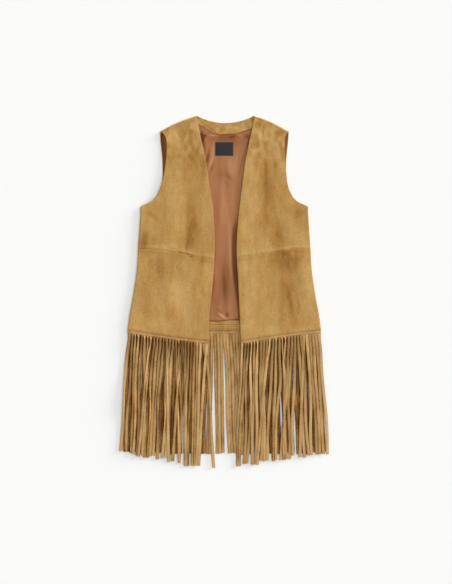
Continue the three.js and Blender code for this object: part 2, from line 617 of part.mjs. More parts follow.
function backFringe() {
  const outerX = column(EDGES, 'back', SIDE_HEM) - STRIP_INSET.side;
  const hem = (x) => ({ y: backHem(x) - SEAM, z: FLOOR_CLEARANCE + SUEDE });
  const ends = CLUMPS.back.flatMap((clump) => strandEnds([{ ...clump, x: -clump.x }], -1));
  const salt = SALTS.back;
  return fringe('back_fringe', { from: -outerX, to: outerX, ends, hem, layers: BACK_LAYERS, salt });
}

const vest = new THREE.Group();
vest.name = 'fringe_vest';
vest.add(backUpper(), backLower(), lining(), neckFacing(), hemBand(), label(), backFringe());
for (const side of ['right', 'left']) {
  vest.add(frontPanel(side, 'upper', upperRows(side)));
  vest.add(frontPanel(side, 'lower', lowerRows(side)));
  vest.add(frontFringe(side));
}

export default vest;
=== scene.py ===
# %% [markdown]
# A fringed suede vest
#
# The real vest is split suede, a soft leather with a short brushed nap, lined with satin. It is cut as
# two fronts and a back, each with a seam at the waist, and a long fringe cut from the same hide hangs
# all round its hem. Here it lies on its back on a pale surface and is seen from straight above.
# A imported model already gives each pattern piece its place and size. Each step below makes one piece
# again as a thinner and softer sheet in the same place, and gives it its finish. Lengths are in
# metres, apart from those in tables, which are in millimetres.

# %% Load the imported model
import json
import math
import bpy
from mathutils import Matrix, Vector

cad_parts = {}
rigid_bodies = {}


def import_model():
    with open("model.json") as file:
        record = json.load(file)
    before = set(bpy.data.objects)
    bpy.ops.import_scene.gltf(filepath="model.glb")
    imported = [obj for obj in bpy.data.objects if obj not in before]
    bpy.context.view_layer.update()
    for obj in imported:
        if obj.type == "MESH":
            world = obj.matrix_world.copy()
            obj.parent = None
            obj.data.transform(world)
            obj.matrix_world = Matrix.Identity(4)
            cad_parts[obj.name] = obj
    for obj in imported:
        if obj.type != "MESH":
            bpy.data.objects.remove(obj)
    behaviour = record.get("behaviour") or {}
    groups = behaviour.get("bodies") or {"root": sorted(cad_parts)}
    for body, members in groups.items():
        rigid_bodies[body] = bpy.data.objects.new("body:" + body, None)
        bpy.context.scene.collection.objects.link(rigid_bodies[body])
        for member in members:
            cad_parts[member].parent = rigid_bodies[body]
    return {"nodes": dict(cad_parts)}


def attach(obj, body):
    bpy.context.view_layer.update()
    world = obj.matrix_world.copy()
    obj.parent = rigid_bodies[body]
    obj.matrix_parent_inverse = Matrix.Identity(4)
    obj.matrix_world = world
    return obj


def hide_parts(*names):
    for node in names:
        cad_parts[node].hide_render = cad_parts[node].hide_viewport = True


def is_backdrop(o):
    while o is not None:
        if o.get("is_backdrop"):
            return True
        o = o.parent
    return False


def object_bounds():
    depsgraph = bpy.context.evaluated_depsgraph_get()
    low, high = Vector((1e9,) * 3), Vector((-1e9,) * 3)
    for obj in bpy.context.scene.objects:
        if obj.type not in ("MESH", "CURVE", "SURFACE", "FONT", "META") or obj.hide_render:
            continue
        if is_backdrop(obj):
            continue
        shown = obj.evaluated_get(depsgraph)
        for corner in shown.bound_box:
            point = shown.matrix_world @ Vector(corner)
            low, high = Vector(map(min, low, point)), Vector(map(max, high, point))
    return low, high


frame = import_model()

from types import SimpleNamespace

import bmesh
import bpy
from mathutils import Matrix, Vector, noise

cad_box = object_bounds()
print("pieces in the frame:", ", ".join(sorted(frame["nodes"])))

# %% [markdown]
# The camera
#
# The photograph is taken from straight above. A camera with no rotation looks down -Z with +Y at the
# top of the picture, so it only has to be put above the vest. Its lens could be guessed by eye, but it
# follows from what the picture takes in: the field's height at the surface, seen from a known height.

# %% Camera
FIELD_HEIGHT = 1.518
CAMERA_HEIGHT = 3.0
PICTURE_CENTRE = Vector((0.0044, -0.0005, 0.0))
SENSOR = 36.0

scene = bpy.context.scene
camera = bpy.data.objects.new("camera", bpy.data.cameras.new("camera"))
camera.data.sensor_fit = "VERTICAL"
camera.data.sensor_height = SENSOR
camera.data.lens = SENSOR * CAMERA_HEIGHT / FIELD_HEIGHT
camera.location = PICTURE_CENTRE + Vector((0, 0, CAMERA_HEIGHT))
scene.collection.objects.link(camera)
scene.camera = camera
print(f"camera {CAMERA_HEIGHT:.1f} m above the surface, lens {camera.data.lens:.1f} mm")

# %% [markdown]
# The floor and the light
#
# The vest lies on a plain white surface, and its soft shadow falls to the left and a little down, so
# the main light is a large one on the upper right. Area lamps fade across a scene this wide. A sun
# lamp with a wide angle is just as soft and lights the whole floor evenly, so two of them are used: a
# high and very soft main one, and a low one that grazes the nap, models the folds and draws the wide
# faint shadow of a thing only a few millimetres thick. A pale sky lies behind them.

# %% Floor, lamps and sky
FLOOR_SIZE = 60.0
FLOOR_GAP = 0.0002         # the floor is a hair below the cloth, so that the two never flicker
SKY_STRENGTH = 0.34


def add_lamp(name, towards, strength, softness):
    """A sun lamp that shines along a direction, as soft as a source that many degrees wide."""
    lamp = bpy.data.objects.new(name, bpy.data.lights.new(name, "SUN"))
    lamp.data.energy = strength
    lamp.data.angle = math.radians(softness)
    lamp.rotation_euler = Vector(towards).to_track_quat("-Z", "Y").to_euler()
    scene.collection.objects.link(lamp)


floor_shape = bmesh.new()
bmesh.ops.create_grid(floor_shape, x_segments=1, y_segments=1, size=FLOOR_SIZE / 2)
bmesh.ops.translate(floor_shape, verts=floor_shape.verts, vec=(0, 0, -FLOOR_GAP))
floor_mesh = bpy.data.meshes.new("floor")
floor_shape.to_mesh(floor_mesh)
floor_shape.free()
floor = bpy.data.objects.new("floor", floor_mesh)
scene.collection.objects.link(floor)
floor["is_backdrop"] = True

add_lamp("key_light", (-0.35, -0.20, -1.0), strength=1.86, softness=60)
add_lamp("grazing_light", (-1.0, -0.50, -0.215), strength=3.7, softness=22)
sky = bpy.data.worlds.new("studio")
sky.use_nodes = True
sky.node_tree.nodes["Background"].inputs["Strength"].default_value = SKY_STRENGTH
sky.node_tree.nodes["Background"].inputs["Color"].default_value = (1, 1, 1, 1)
scene.world = sky
scene.view_settings.view_transform = "Standard"
print("floor", FLOOR_SIZE, "m wide, two lamps and a sky of", SKY_STRENGTH)

# %% [markdown]
# Sizes of the cloth
#
# A pattern cutter works from a few thicknesses and allowances. They are named here once, and every
# piece below takes them from here, so that neighbouring pieces always meet.

# %% Thicknesses, heights and key places
SUEDE = 0.0013
SATIN = 0.0010
SEAM = 0.0003              # clearance between neighbouring layers
SEWN = 0.00004             # what is left between two pieces that are sewn edge to edge
ROLL = 0.004               # radius of the folded-over side and shoulder edges
FRONT_TOP = 0.0076         # outer face of a front where it lies plain
INSIDE = SUEDE + SEAM      # underside of what is sewn to the inside of the back

NECK = SimpleNamespace(x=0.074, y=0.4568, centre=0.0028, low=0.4384)
TIP = SimpleNamespace(x=0.1674, y=0.4155)
SHOULDER_ROUND = 0.004
SIDE_WAIST = 0.111
SIDE_HEM = -0.0995
BACK_WAIST = 0.105
BACK_HEM = -0.1019
UNDERARM = SimpleNamespace(open=0.224, rolled=0.206)
WAIST_ARCH = 0.0055
SHOULDER_SLOPE = math.atan2(NECK.y - TIP.y, TIP.x - NECK.x)

# %% [markdown]
# The outline
#
# The vest's outline is one table of edge distances from the centre line and one for the front
# opening. A curve object could be drawn for each edge, but a table is easier to keep equal on all
# the pieces that share an edge. A smooth curve through the rows gives any height between them.

# %% Outline tables
NO_LENGTHS = ("lean", "tone", "strands", "strand", "at", "over", "twist")


def table(columns, *rows):
    """Rows in millimetres as one dict of metres each. The columns of NO_LENGTHS stay as they are."""
    names = columns.split()
    return [{name: value if name in NO_LENGTHS else value / 1000 for name, value in zip(names, row)}
            for row in rows]


EDGES = table(
    "y back right left",
    (415.5, 167.4, 162.5, 165), (402, 166.6, 152.8, 157.6), (387, 165.4, 149.8, 156.5),
    (365, 163, 149.4, 156.5), (342, 161.2, 151.8, 157.8), (320, 160.6, 154.4, 159.8),
    (300, 160.8, 158, 161.5), (280, 163, 162.9, 164.2), (262, 168.2, 169.4, 169.4),
    (249, 175, 176.2, 176.2), (240, 182.2, 183.2, 183.2), (231, 194.4, 195.2, 195.2),
    (225.7, 206.6, 207, 207), (222, 215.6, 215.8, 215.8),
    *((y, side, side, side) for y, side in (
        (214, 217.2), (200, 217.9), (178, 219.2), (155, 220.8), (133, 222.4), (111, 223.8),
        (80, 225.4), (45, 228.6), (10, 233.8), (-22, 238.8), (-55, 245.2), (-80, 248.8),
        (-102, 251.8),
    )),
)

OPENING = table(
    "y right left",
    (456.8, 71.2, 76.8), (430, 66.5, 73.1), (410, 62.8, 69.2), (375, 55, 61.3), (332, 46.2, 53.6),
    (275, 38.1, 45.7), (234, 31.3, 40.6), (190, 27, 35.9), (141, 24.7, 32.3), (91, 25.7, 31.9),
    (42, 28.3, 34.9), (3, 32.2, 36.9), (-56, 38.2, 39.6), (-128, 40.6, 42.4),
)

FRONTS = {
    "right": SimpleNamespace(sign=-1, waist=0.0848, hem=-0.1279, hem_bow=-0.0015),
    "left": SimpleNamespace(sign=1, waist=0.0905, hem=-0.1279, hem_bow=0.0025),
}
print("outline rows:", len(EDGES), "at the sides,", len(OPENING), "down the opening")

# %% Curves through the tables


def clamp(t):
    return min(1.0, max(0.0, t))


def smooth(t):
    return clamp(t) ** 2 * (3 - 2 * clamp(t))


def mix(a, b, t):
    return a + (b - a) * t


def bump(distance, width):
    """A soft bell that is 1 at the place itself and has faded two widths away."""
    return math.exp(-((distance / width) ** 2))


def soft_lines(*lines):
    """The sum of soft lines, each with the distance from it, its width and its weight."""
    return sum(weight * bump(distance, width) for distance, width, weight in lines)


def on_curve(rows, name, y):
    """One column of a table at a height, on a smooth curve through its rows."""
    last = len(rows) - 1
    i = max(1, next((k for k, row in enumerate(rows) if row["y"] <= y), last))
    before, start, stop, after = rows[max(0, i - 2)], rows[i - 1], rows[i], rows[min(last, i + 1)]

    def slope(a, b):
        return 0 if a is b else (b[name] - a[name]) / (b["y"] - a["y"])

    span = stop["y"] - start["y"]
    t = clamp((y - start["y"]) / span)
    leaving = (slope(before, start) + slope(start, stop)) / (1 if before is start else 2)
    arriving = (slope(start, stop) + slope(stop, after)) / (1 if stop is after else 2)
    return (
        start[name] * (2 * t**3 - 3 * t**2 + 1) + stop[name] * (3 * t**2 - 2 * t**3)
        + leaving * span * (t**3 - 2 * t**2 + t) + arriving * span * (t**3 - t**2)
    )


print(f"side seam at the waist: {on_curve(EDGES, 'back', SIDE_WAIST) * 1000:.1f} mm from the centre")

# %% [markdown]
# Folds, creases and painted light and shade
#
# Suede that lies flat still keeps soft ridges and troughs. Simulated cloth would put them anywhere,
# and the real ones are known from the photograph, so each is listed: a long soft bell with a
# place, a length, a width, a lean and a rise. A second set in the same form paints light and shade
# into the nap's colour where the folds and creases lie, with some darker and lighter nap among it.

# %% Folds of the fronts
FOLD_COLUMNS = "x y length width lean rise"
SHADE_COLUMNS = "x y length width lean tone"

FOLDS = {
    "right": table(
        FOLD_COLUMNS,
        (-88, 215, 95, 26, 5, -0.8), (-134, 205, 70, 26, -4, 0.8), (-98, 122, 26, 11, 3, -1),
        (-94, 97, 15, 7, 62, 1.6), (-174, 68, 38, 20, 12, -1.3), (-74, 8, 62, 24, 6, 1.5),
        (-192, 196, 17, 8, -58, -0.9), (-118, 396, 38, 16, -14, -0.9), (-200, -10, 60, 18, -8, 1),
        (-46, 300, 80, 12, 9, 1),
    ),
    "left": table(
        FOLD_COLUMNS,
        (107, 330, 90, 22, -2, -0.8), (142, 150, 105, 26, -15, -0.9), (176, 12, 56, 22, -14, -0.8),
        (78, 40, 80, 24, -4, 1.5), (46, 45, 120, 20, -1, 2), (166, 101, 15, 7, -58, 1.5),
        (198, 202, 17, 7, 62, -1.4), (128, 245, 60, 24, -12, 0.7), (206, 40, 70, 17, -9, 1.3),
        (90, 400, 40, 12, 10, 1),
    ),
}

CREASES = {
    "right": table(
        FOLD_COLUMNS,
        (-102, 409, 15, 3, 16, -0.7), (-113, 102, 8, 2, -80, -0.8), (-112, 107, 9, 2, -78, 0.9),
        (-93, 97, 8, 2, -78, -0.9), (-88, 91, 7, 2.2, -82, -0.8), (-94, 176, 34, 9, 8, -0.3),
        (-108, 268, 30, 9, -6, -0.4), (-176, 186, 13, 4.5, -52, -0.3), (-172, 56, 20, 9, 16, -0.5),
        (-196, 18, 24, 9, -10, -0.4), (-63, 50, 48, 10, 4, -0.4), (-140, -20, 46, 12, -6, 0.6),
        (-118, -80, 20, 6, 24, -0.4),
    ),
    "left": table(
        FOLD_COLUMNS,
        (99, 412, 14, 3.5, 2, -0.8), (131, 328, 12, 4.5, 0, -0.6), (110, 262, 40, 7, -4, -0.5),
        (138, 166, 18, 8, -8, -0.5), (158, 72, 26, 8, -6, -0.4), (182, -12, 46, 5.5, -15, -0.7),
        (150, -22, 44, 6, 0, -0.6), (60, 66, 32, 4, 2, -0.5), (184, 210, 14, 4, 60, -0.5),
        (68, 210, 50, 11, -6, 0.6),
    ),
}
print("folds and creases placed by hand:", sum(len(t) for t in [*FOLDS.values(), *CREASES.values()]))

# %% Painted light and shade, and nap, of the fronts
PAINTED_AND_NAP_SHADES = {
    "right": table(
        SHADE_COLUMNS,
        (-126, 222, 75, 20, -2, 0.4), (-84, 190, 70, 20, 5, -0.4), (-78, 152, 40, 18, 0, -0.55),
        (-110, 128, 22, 18, 4, -0.55), (-172, 60, 34, 17, 6, -0.52), (-102, -14, 24, 26, 0, 0.2),
        (-104, -4, 50, 36, 4, 0.3), (-192, 6, 30, 14, -6, -0.2), (-62, 50, 60, 12, 3, -0.3),
        (-142, 404, 18, 24, 60, 0.45), (-80, 320, 80, 20, -6, -0.25), (-130, -90, 20, 60, 0, 0.25),
        (-102.3, 409, 16, 3, 16, -0.9), (-84, 434, 9, 12, 20, 0.45), (-120, 424, 9, 10, 30, -0.4),
        (-126, 384, 16, 9, 10, 0.3), (-86, 388, 11, 7, 30, -0.5), (-81, 366, 7, 5, 0, -0.4),
        (-79, 345, 22, 8, 4, -0.3), (-95.5, 126, 26, 3.2, 9, -0.75),
        (-113, 102, 7, 1.6, -80, -1.3), (-93, 97, 7, 1.6, -78, -1.4), (-88, 91, 6, 1.6, -82, -1.2),
        (-150, 120, 5, 30, 0, 0.4),
    ),
    "left": table(
        SHADE_COLUMNS,
        (58, 110, 150, 16, -3, 0.35), (107.5, 286, 85, 5, -1, -0.55),
        (112, 290, 100, 20, -2, -0.25), (106.5, 206, 38, 6, -2, -0.5),
        (139, 150, 32, 18, -8, -0.3), (138.5, 145, 22, 5, -3, -0.45),
        (167, -16, 46, 15, -10, -0.95), (172.5, -30, 34, 4.8, -14, -0.6),
        (146, -28, 55, 7, 0, -0.7), (218, 30, 110, 22, -9, 0.45), (192, 204, 12, 12, 60, -0.45),
        (70, 340, 70, 14, 10, 0.3), (148, 392, 20, 20, 40, 0.25), (110, -100, 20, 60, 0, 0.25),
        (100, 412, 13, 3.2, 2, -0.85), (152, 96, 14, 3, -4, -0.6), (168, 104, 7, 1.5, 84, -0.7),
        (158, 99, 6, 1.5, 78, -0.6), (113, 404, 15, 7, 4, 0.4), (131, 326, 13, 5, 0, -0.5),
        (89, 384, 22, 6, 8, -0.35), (126, 372, 18, 7, 14, 0.35), (136, 408, 10, 8, 50, -0.35),
    ),
}

# Painted light and shade, with darker and lighter nap, in patches that stop at the waist seam: 1 above
# it, -1 below
HALF_PAINTED_AND_NAP_SHADES = {
    ("right", 1): table(SHADE_COLUMNS, (-208, 130, 38, 13, 3, -1)),
    ("right", -1): table(SHADE_COLUMNS, (-228, 70, 40, 10, 3, 0.3)),
    ("left", 1): table(SHADE_COLUMNS, (190, 130, 20, 24, 0, 0.25)),
    ("left", -1): table(SHADE_COLUMNS, (160, 82, 32, 40, 0, -1.05)),
}


def folded(folds, x, y, column="rise"):
    """The summed rise of a table of folds at a place, or the summed tone of a table of shades."""
    total = 0.0
    for fold in folds:
        lean = math.radians(fold["lean"])
        dx, dy = x - fold["x"], y - fold["y"]
        along = dx * math.sin(lean) + dy * math.cos(lean)
        across = dx * math.cos(lean) - dy * math.sin(lean)
        if abs(along) < 3 * fold["length"] and abs(across) < 3 * fold["width"]:
            total += fold[column] * bump(along, fold["length"]) * bump(across, fold["width"])
    return total


def rumple(x, y, wide=0.00035, fine=0.00012):
    """The slight unevenness of a hide that has been handled, a wide one and a finer one."""
    broad = noise.noise(Vector((x / 0.045, y / 0.070, 3.1)))
    close = noise.noise(Vector((x / 0.014, y / 0.020, 7.7)))
    return wide * broad + fine * close


print(f"deepest fold at the left waist: {folded(FOLDS['left'], 0.142, 0.150) * 1000:.2f} mm")

# %% [markdown]
# Making a sheet of cloth
#
# Every piece starts as a flat grid, which is bent into place point by point, as a cutter lays cloth
# on a table. A Solidify modifier gives it its thickness on the inner side, and a narrow Bevel rounds
# the cut rim. Each point also keeps a tone, which the finish reads later, and how far it belongs to
# an edge that is turned over and stitched, where the cloth is twice as thick.

# %% From a grid to a sheet
RIM_ROUND = 0.00035
TURNED = 2.0               # thickness of a turned edge, in thicknesses of the cloth


def add_piece(name, shape, finish):
    """A finished object from a bmesh."""
    mesh = bpy.data.meshes.new(name)
    shape.to_mesh(mesh)
    shape.free()
    mesh.materials.append(finish)
    mesh.shade_smooth()
    piece = bpy.data.objects.new(name, mesh)
    scene.collection.objects.link(piece)
    return piece


def give_wall(piece, thickness, turned=False):
    """Thickness on the side away from the normals, more of it where an edge is turned over."""
    wall = piece.modifiers.new("thickness", "SOLIDIFY")
    wall.offset = -1
    wall.thickness = thickness * (TURNED if turned else 1)
    if turned:
        wall.vertex_group = "turned"
        wall.thickness_vertex_group = 1 / TURNED


def round_rim(piece):
    rim = piece.modifiers.new("rim", "BEVEL")
    rim.width = RIM_ROUND
    rim.segments = 2
    rim.profile = 0.5
    rim.limit_method = "ANGLE"
    rim.angle_limit = math.radians(50)


def lay_sheet(name, finish, across, down, place, thickness=SUEDE, faces_up=True, turned=False):
    """A grid laid by place(u, v), which gives a point, its tone and how far its edge is turned."""
    shape = bmesh.new()
    bmesh.ops.create_grid(shape, x_segments=across, y_segments=down, size=0.5)
    tone = shape.verts.layers.float.new("tone")
    groups = shape.verts.layers.deform.verify()
    for vert in shape.verts:
        u, v = vert.co.x + 0.5, 0.5 - vert.co.y
        vert.co, vert[tone], share = place(clamp(u), clamp(v))
        if turned:
            vert[groups][0] = share
    shape.normal_update()
    if (sum(face.normal.z for face in shape.faces) > 0) != faces_up:
        bmesh.ops.reverse_faces(shape, faces=shape.faces)
    piece = add_piece(name, shape, finish)
    if turned:
        piece.vertex_groups.new(name="turned")
    give_wall(piece, thickness, turned)
    round_rim(piece)
    print(f"{name}: {across} by {down} quads, {thickness * 1000:.1f} mm thick")
    return piece


def denser_ends(t, share=0.5):
    """Even steps from 0 to 1 become finer at both ends."""
    return t - share * math.sin(2 * math.pi * t) / (2 * math.pi)


# %% [markdown]
# Finishes
#
# Split suede is the inner layer of a hide, sanded to a short nap. Its colour is never even: the nap
# is brushed in streaks and small spots of it lie the other way. The light and shade of its folds,
# creases and edges are painted into its tone as well. It hardly shines, and its fibres catch the
# light at a glancing angle, which is what the sheen socket is for.
# Satin is smooth and catches long soft highlights. Colours are picked as on a screen, so one function
# turns them to the linear values that the shader needs, and one function adds a node.

# %% Helpers for materials


def colour(hexadecimal, strength=1.0):
    """A screen colour such as #bb9557 as a linear RGBA value."""
    channels = [int(hexadecimal[i:i + 2], 16) / 255 for i in (1, 3, 5)]
    linear = [c / 12.92 if c <= 0.04045 else ((c + 0.055) / 1.055) ** 2.4 for c in channels]
    return (*[c * strength for c in linear], 1.0)


def add_node(material, kind, inputs=(), **settings):
    """A node with its own settings, and its inputs as values or as sockets to link from."""
    tree = material.node_tree
    node = tree.nodes.new(kind)
    for name, value in settings.items():
        setattr(node, name, value)
    for name, value in dict(inputs).items():
        if isinstance(value, bpy.types.NodeSocket):
            tree.links.new(value, node.inputs[name])
        else:
            node.inputs[name].default_value = value
    return node


def new_material(name, **sockets):
    """A material with only a Principled shader, whose uniform values are set on its own sockets."""
    material = bpy.data.materials.new(name)
    material.use_nodes = True
    shader = material.node_tree.nodes["Principled BSDF"]
    for socket, value in sockets.items():
        shader.inputs[socket.replace("_", " ")].default_value = value
    return material, shader


def link_shader(material, shader, **sockets):
    """Links outputs of nodes to the shader's own sockets."""
    for name, socket in sockets.items():
        material.node_tree.links.new(socket, shader.inputs[name.replace("_", " ")])


def set_ramp(node, *stops):
    """The stops of a Color Ramp as places and screen colours."""
    ramp = node.color_ramp
    while len(ramp.elements) < len(stops):
        ramp.elements.new(0.5)
    for element, (place, shade) in zip(ramp.elements, stops):
        element.position = place
        element.color = colour(shade) if isinstance(shade, str) else (shade, shade, shade, 1)


def scaled_noise(material, place, size, detail=2.0, stretch=(1, 1, 1)):
    """Noise whose blobs are about size metres across, drawn out by stretch along each axis."""
    scale = [1 / s for s in stretch]
    mapping = add_node(material, "ShaderNodeMapping", {"Vector": place, "Scale": scale})
    texture = add_node(material, "ShaderNodeTexNoise",
                       {"Vector": mapping.outputs["Vector"], "Scale": 1 / size, "Detail": detail})
    return texture.outputs["Fac"]


def weighted_sum(material, start, *parts):
    """start plus each part, less a half and times its weight, so noise doesn't shift the mean."""
    total = start
    for value, weight in parts:
        centred = add_node(material, "ShaderNodeMath", {0: value, 1: -0.5}, operation="ADD")
        scaled = add_node(material, "ShaderNodeMath",
                          {0: centred.outputs[0], 1: weight, 2: total}, operation="MULTIPLY_ADD")
        total = scaled.outputs[0]
    return total


def tinted(material, base, amount, *stops):
    """A colour multiplied by the shades that an amount runs through."""
    ramp = add_node(material, "ShaderNodeValToRGB", {"Fac": amount})
    set_ramp(ramp, *stops)
    product = add_node(material, "ShaderNodeMix", {0: 1.0, 6: base, 7: ramp.outputs["Color"]},
                       data_type="RGBA", blend_type="MULTIPLY")
    return product.outputs[2]


print("#bb9557 is", [round(c, 3) for c in colour("#bb9557")[:3]], "in linear light")

# %% Suede
NAP_GRAIN = 0.0012         # real nap is 0.3 mm long, too fine to show here, so it is drawn coarser
NAP_FIBRE = 0.0036
NAP_STROKE = 0.012
NAP_PATCH = 0.050
MARK_SIZE = 0.009
WARM_PATCH = 0.030         # places where the tan dye took more warmly
MIDDLE_TONE = 0.55         # where plain nap lies on the ramp of shades


def suede(name, shades, tone_weight=0.34, contrast=1.0, warm_stretch=(1, 1.5, 1), shine=1.0,
          dye_shades=("#ffffff", "#fff6ea"), even_below=False):
    """Brushed split suede. shades run from the darkest nap to the palest, and the tone attribute,
    which holds painted light and shade as well as darker and lighter nap, picks among them. even_below
    leaves the tone off the faces that look down."""
    material, shader = new_material(
        name, Roughness=0.94, Sheen_Weight=0.18 * shine, Sheen_Roughness=0.45,
        Specular_IOR_Level=0.22 * shine)
    shader.inputs["Sheen Tint"].default_value = colour("#e8cf9c")
    coordinates = add_node(material, "ShaderNodeTexCoord")
    place = coordinates.outputs["Object"]
    grain = scaled_noise(material, place, NAP_GRAIN, 2, (1, 2.0, 1))
    fibres = scaled_noise(material, place, NAP_FIBRE, 3, (1, 1.6, 1))
    strokes = scaled_noise(material, place, NAP_STROKE, 3, (1, 2.6, 1))
    patches = scaled_noise(material, place, NAP_PATCH, 3, (1, 1.5, 1))
    marks = scaled_noise(material, place, MARK_SIZE, 1, (1, 1.7, 1))
    tone = add_node(material, "ShaderNodeAttribute", attribute_name="tone").outputs["Fac"]
    if even_below:
        faces = add_node(material, "ShaderNodeSeparateXYZ", {"Vector": coordinates.outputs["Normal"]})
        above = add_node(material, "ShaderNodeMath", {0: faces.outputs["Z"], 1: 2.0, 2: 1.0},
                         operation="MULTIPLY_ADD", use_clamp=True)
        tone = add_node(material, "ShaderNodeMath", {0: tone, 1: above.outputs[0]},
                        operation="MULTIPLY").outputs[0]
    toned = add_node(material, "ShaderNodeMath", {0: tone, 1: tone_weight, 2: MIDDLE_TONE},
                     operation="MULTIPLY_ADD")
    brushed = weighted_sum(
        material, toned.outputs[0], (grain, 0.40 * contrast), (fibres, 0.36 * contrast),
        (strokes, 0.42 * contrast), (patches, 0.52 * contrast))
    nap = add_node(material, "ShaderNodeValToRGB", {"Fac": brushed})
    set_ramp(nap, *shades)
    spotted = tinted(material, nap.outputs["Color"], marks, (0.24, 0.86), (0.36, 1.0))
    warmth = scaled_noise(material, place, WARM_PATCH, 2, warm_stretch)
    dyed = tinted(material, spotted, warmth, (0.35, dye_shades[0]), (0.70, dye_shades[1]))
    height = weighted_sum(material, 0.5, (grain, 0.4), (fibres, 0.7), (strokes, 0.5))
    bumpy = add_node(material, "ShaderNodeBump",
                     {"Height": height, "Distance": 0.0003, "Strength": 0.5})
    link_shader(material, shader, Base_Color=dyed, Normal=bumpy.outputs["Normal"])
    return material


SUEDE_FACE = suede("brushed_split_suede",
                   [(0.0, "#845a26"), (0.3, "#9d7339"), (0.6, "#b28d53"), (1.0, "#caa96e")])
FRINGE_SUEDE = suede("cut_split_suede",
                     [(0.0, "#3e2006"), (0.25, "#7a552a"), (0.55, "#b18c57"), (1.0, "#cbab78")],
                     tone_weight=0.40, contrast=0.8, warm_stretch=(0.3, 4, 1), shine=0.4,
                     dye_shades=("#fbfeff", "#fff2f4"), even_below=True)
print("suede finishes made:", SUEDE_FACE.name, "and", FRINGE_SUEDE.name)

# %% Satin, woven label and thread
SATIN_YARN = 0.0016        # real satin has 10 yarns to the millimetre, far too fine to show


def satin(name):
    """Acetate satin lining: smooth floats of yarn along its length, with broad soft highlights."""
    material, shader = new_material(
        name, Roughness=0.50, Specular_IOR_Level=0.10, Sheen_Weight=0.02, Sheen_Roughness=0.4)
    shader.inputs["Sheen Tint"].default_value = colour("#d79a70")
    place = add_node(material, "ShaderNodeTexCoord").outputs["Object"]
    yarns = scaled_noise(material, place, SATIN_YARN, 2, (1, 9, 1))
    bands = scaled_noise(material, place, 0.030, 2, (1, 5, 1))
    tone = add_node(material, "ShaderNodeAttribute", attribute_name="tone")
    toned = add_node(material, "ShaderNodeMath",
                     {0: tone.outputs["Fac"], 1: 0.36, 2: 0.59}, operation="MULTIPLY_ADD")
    shade = weighted_sum(material, toned.outputs[0], (yarns, 0.16), (bands, 0.34))
    ramp = add_node(material, "ShaderNodeValToRGB", {"Fac": shade})
    set_ramp(ramp, (0.0, "#572f10"), (0.3, "#83502d"), (0.6, "#a26d46"), (1.0, "#c4926a"))
    bumpy = add_node(material, "ShaderNodeBump",
                     {"Height": yarns, "Distance": 0.0001, "Strength": 0.3})
    link_shader(material, shader, Base_Color=ramp.outputs["Color"], Normal=bumpy.outputs["Normal"])
    return material


def woven_label(name, yarn=0.0011):
    """Damask-woven polyester: flat ribbon yarns in a plain weave, drawn at twice their size."""
    material, shader = new_material(name, Roughness=0.62, Specular_IOR_Level=0.4)
    place = add_node(material, "ShaderNodeTexCoord").outputs["Object"]
    waves = {"Vector": place, "Scale": 2 * math.pi / yarn / 20}
    warp = add_node(material, "ShaderNodeTexWave", waves, bands_direction="X")
    weft = add_node(material, "ShaderNodeTexWave", waves, bands_direction="Y")
    weave = add_node(material, "ShaderNodeMath",
                     {0: warp.outputs["Fac"], 1: weft.outputs["Fac"]}, operation="MULTIPLY")
    ramp = add_node(material, "ShaderNodeValToRGB", {"Fac": weave.outputs[0]})
    set_ramp(ramp, (0.0, "#0b0c0e"), (1.0, "#1e1f22"))
    bumpy = add_node(material, "ShaderNodeBump",
                     {"Height": weave.outputs[0], "Distance": 0.0002, "Strength": 0.5})
    link_shader(material, shader, Base_Color=ramp.outputs["Color"], Normal=bumpy.outputs["Normal"])
    return material


def thread(name, shade):
    """Spun polyester sewing thread: a matt yarn with a little shine from its twist."""
    material, shader = new_material(name, Roughness=0.6, Sheen_Weight=0.2)
    place = add_node(material, "ShaderNodeTexCoord").outputs["Object"]
    twist = scaled_noise(material, place, 0.0012, 2)
    ramp = add_node(material, "ShaderNodeValToRGB", {"Fac": twist})
    set_ramp(ramp, (0.3, shade), (0.8, shade))
    lighter = ramp.color_ramp.elements[1]
    lighter.color = [min(1, c * 1.3) for c in lighter.color]
    link_shader(material, shader, Base_Color=ramp.outputs["Color"])
    return material


SATIN_LINING = satin("acetate_satin")
LABEL_CLOTH = woven_label("woven_polyester")
SUEDE_THREAD = thread("tan_polyester_thread", "#c4a064")
LABEL_THREAD = thread("black_polyester_thread", "#26262a")
paper, paper_shader = new_material("white_paper", Roughness=0.9, Specular_IOR_Level=0.1)
paper_shader.inputs["Base Color"].default_value = colour("#efefed")
floor.data.materials.append(paper)
print("finishes:", len(bpy.data.materials))

# %% [markdown]
# Edges that roll over
#
# At the sides and shoulders the cloth doesn't end: it rolls over to the other layer and meets it in
# a seam at half height. Each roll is a quarter circle, so a point near such an edge is placed by the
# angle that the cloth has turned there, and its height shrinks towards the seam's own.

# %% Rolls
ROLLED_SHARE = 0.13        # share of a sheet's columns that go to the roll


def side_roll(y):
    """How far the side seam rolls at a height: not at all in the armhole, wholly under the arm."""
    return smooth((UNDERARM.open - y) / (UNDERARM.open - UNDERARM.rolled))


def keep(weight, turn):
    """What is left of a height above the seam once the cloth has turned by an angle."""
    return 1 - weight * (1 - math.cos(turn))


def station(u, width):
    """The share of the width reached at a column, and the angle the cloth has turned by there."""
    flat = 1 - ROLL / width
    if u <= 1 - ROLLED_SHARE:
        return flat * denser_ends(u / (1 - ROLLED_SHARE), 0.6), 0.0
    turn = (u - 1 + ROLLED_SHARE) / ROLLED_SHARE * math.pi / 2
    return flat + (1 - flat) * math.sin(turn), turn


print("a 4 mm roll takes", f"{ROLL * math.pi / 2 * 1000:.1f} mm of cloth")

# %% [markdown]
# The two fronts
#
# Each front is cut in two at the waist. Its free edges, down the opening and round the armhole, are
# turned over and so are thick and round. Along the waist seam both halves dip into the stitching and
# pucker a little where the seam was eased. A bevelled box would show none of this, so the height is
# worked out at each point: the folds, then the dip at every seam, then the rounding of every edge.

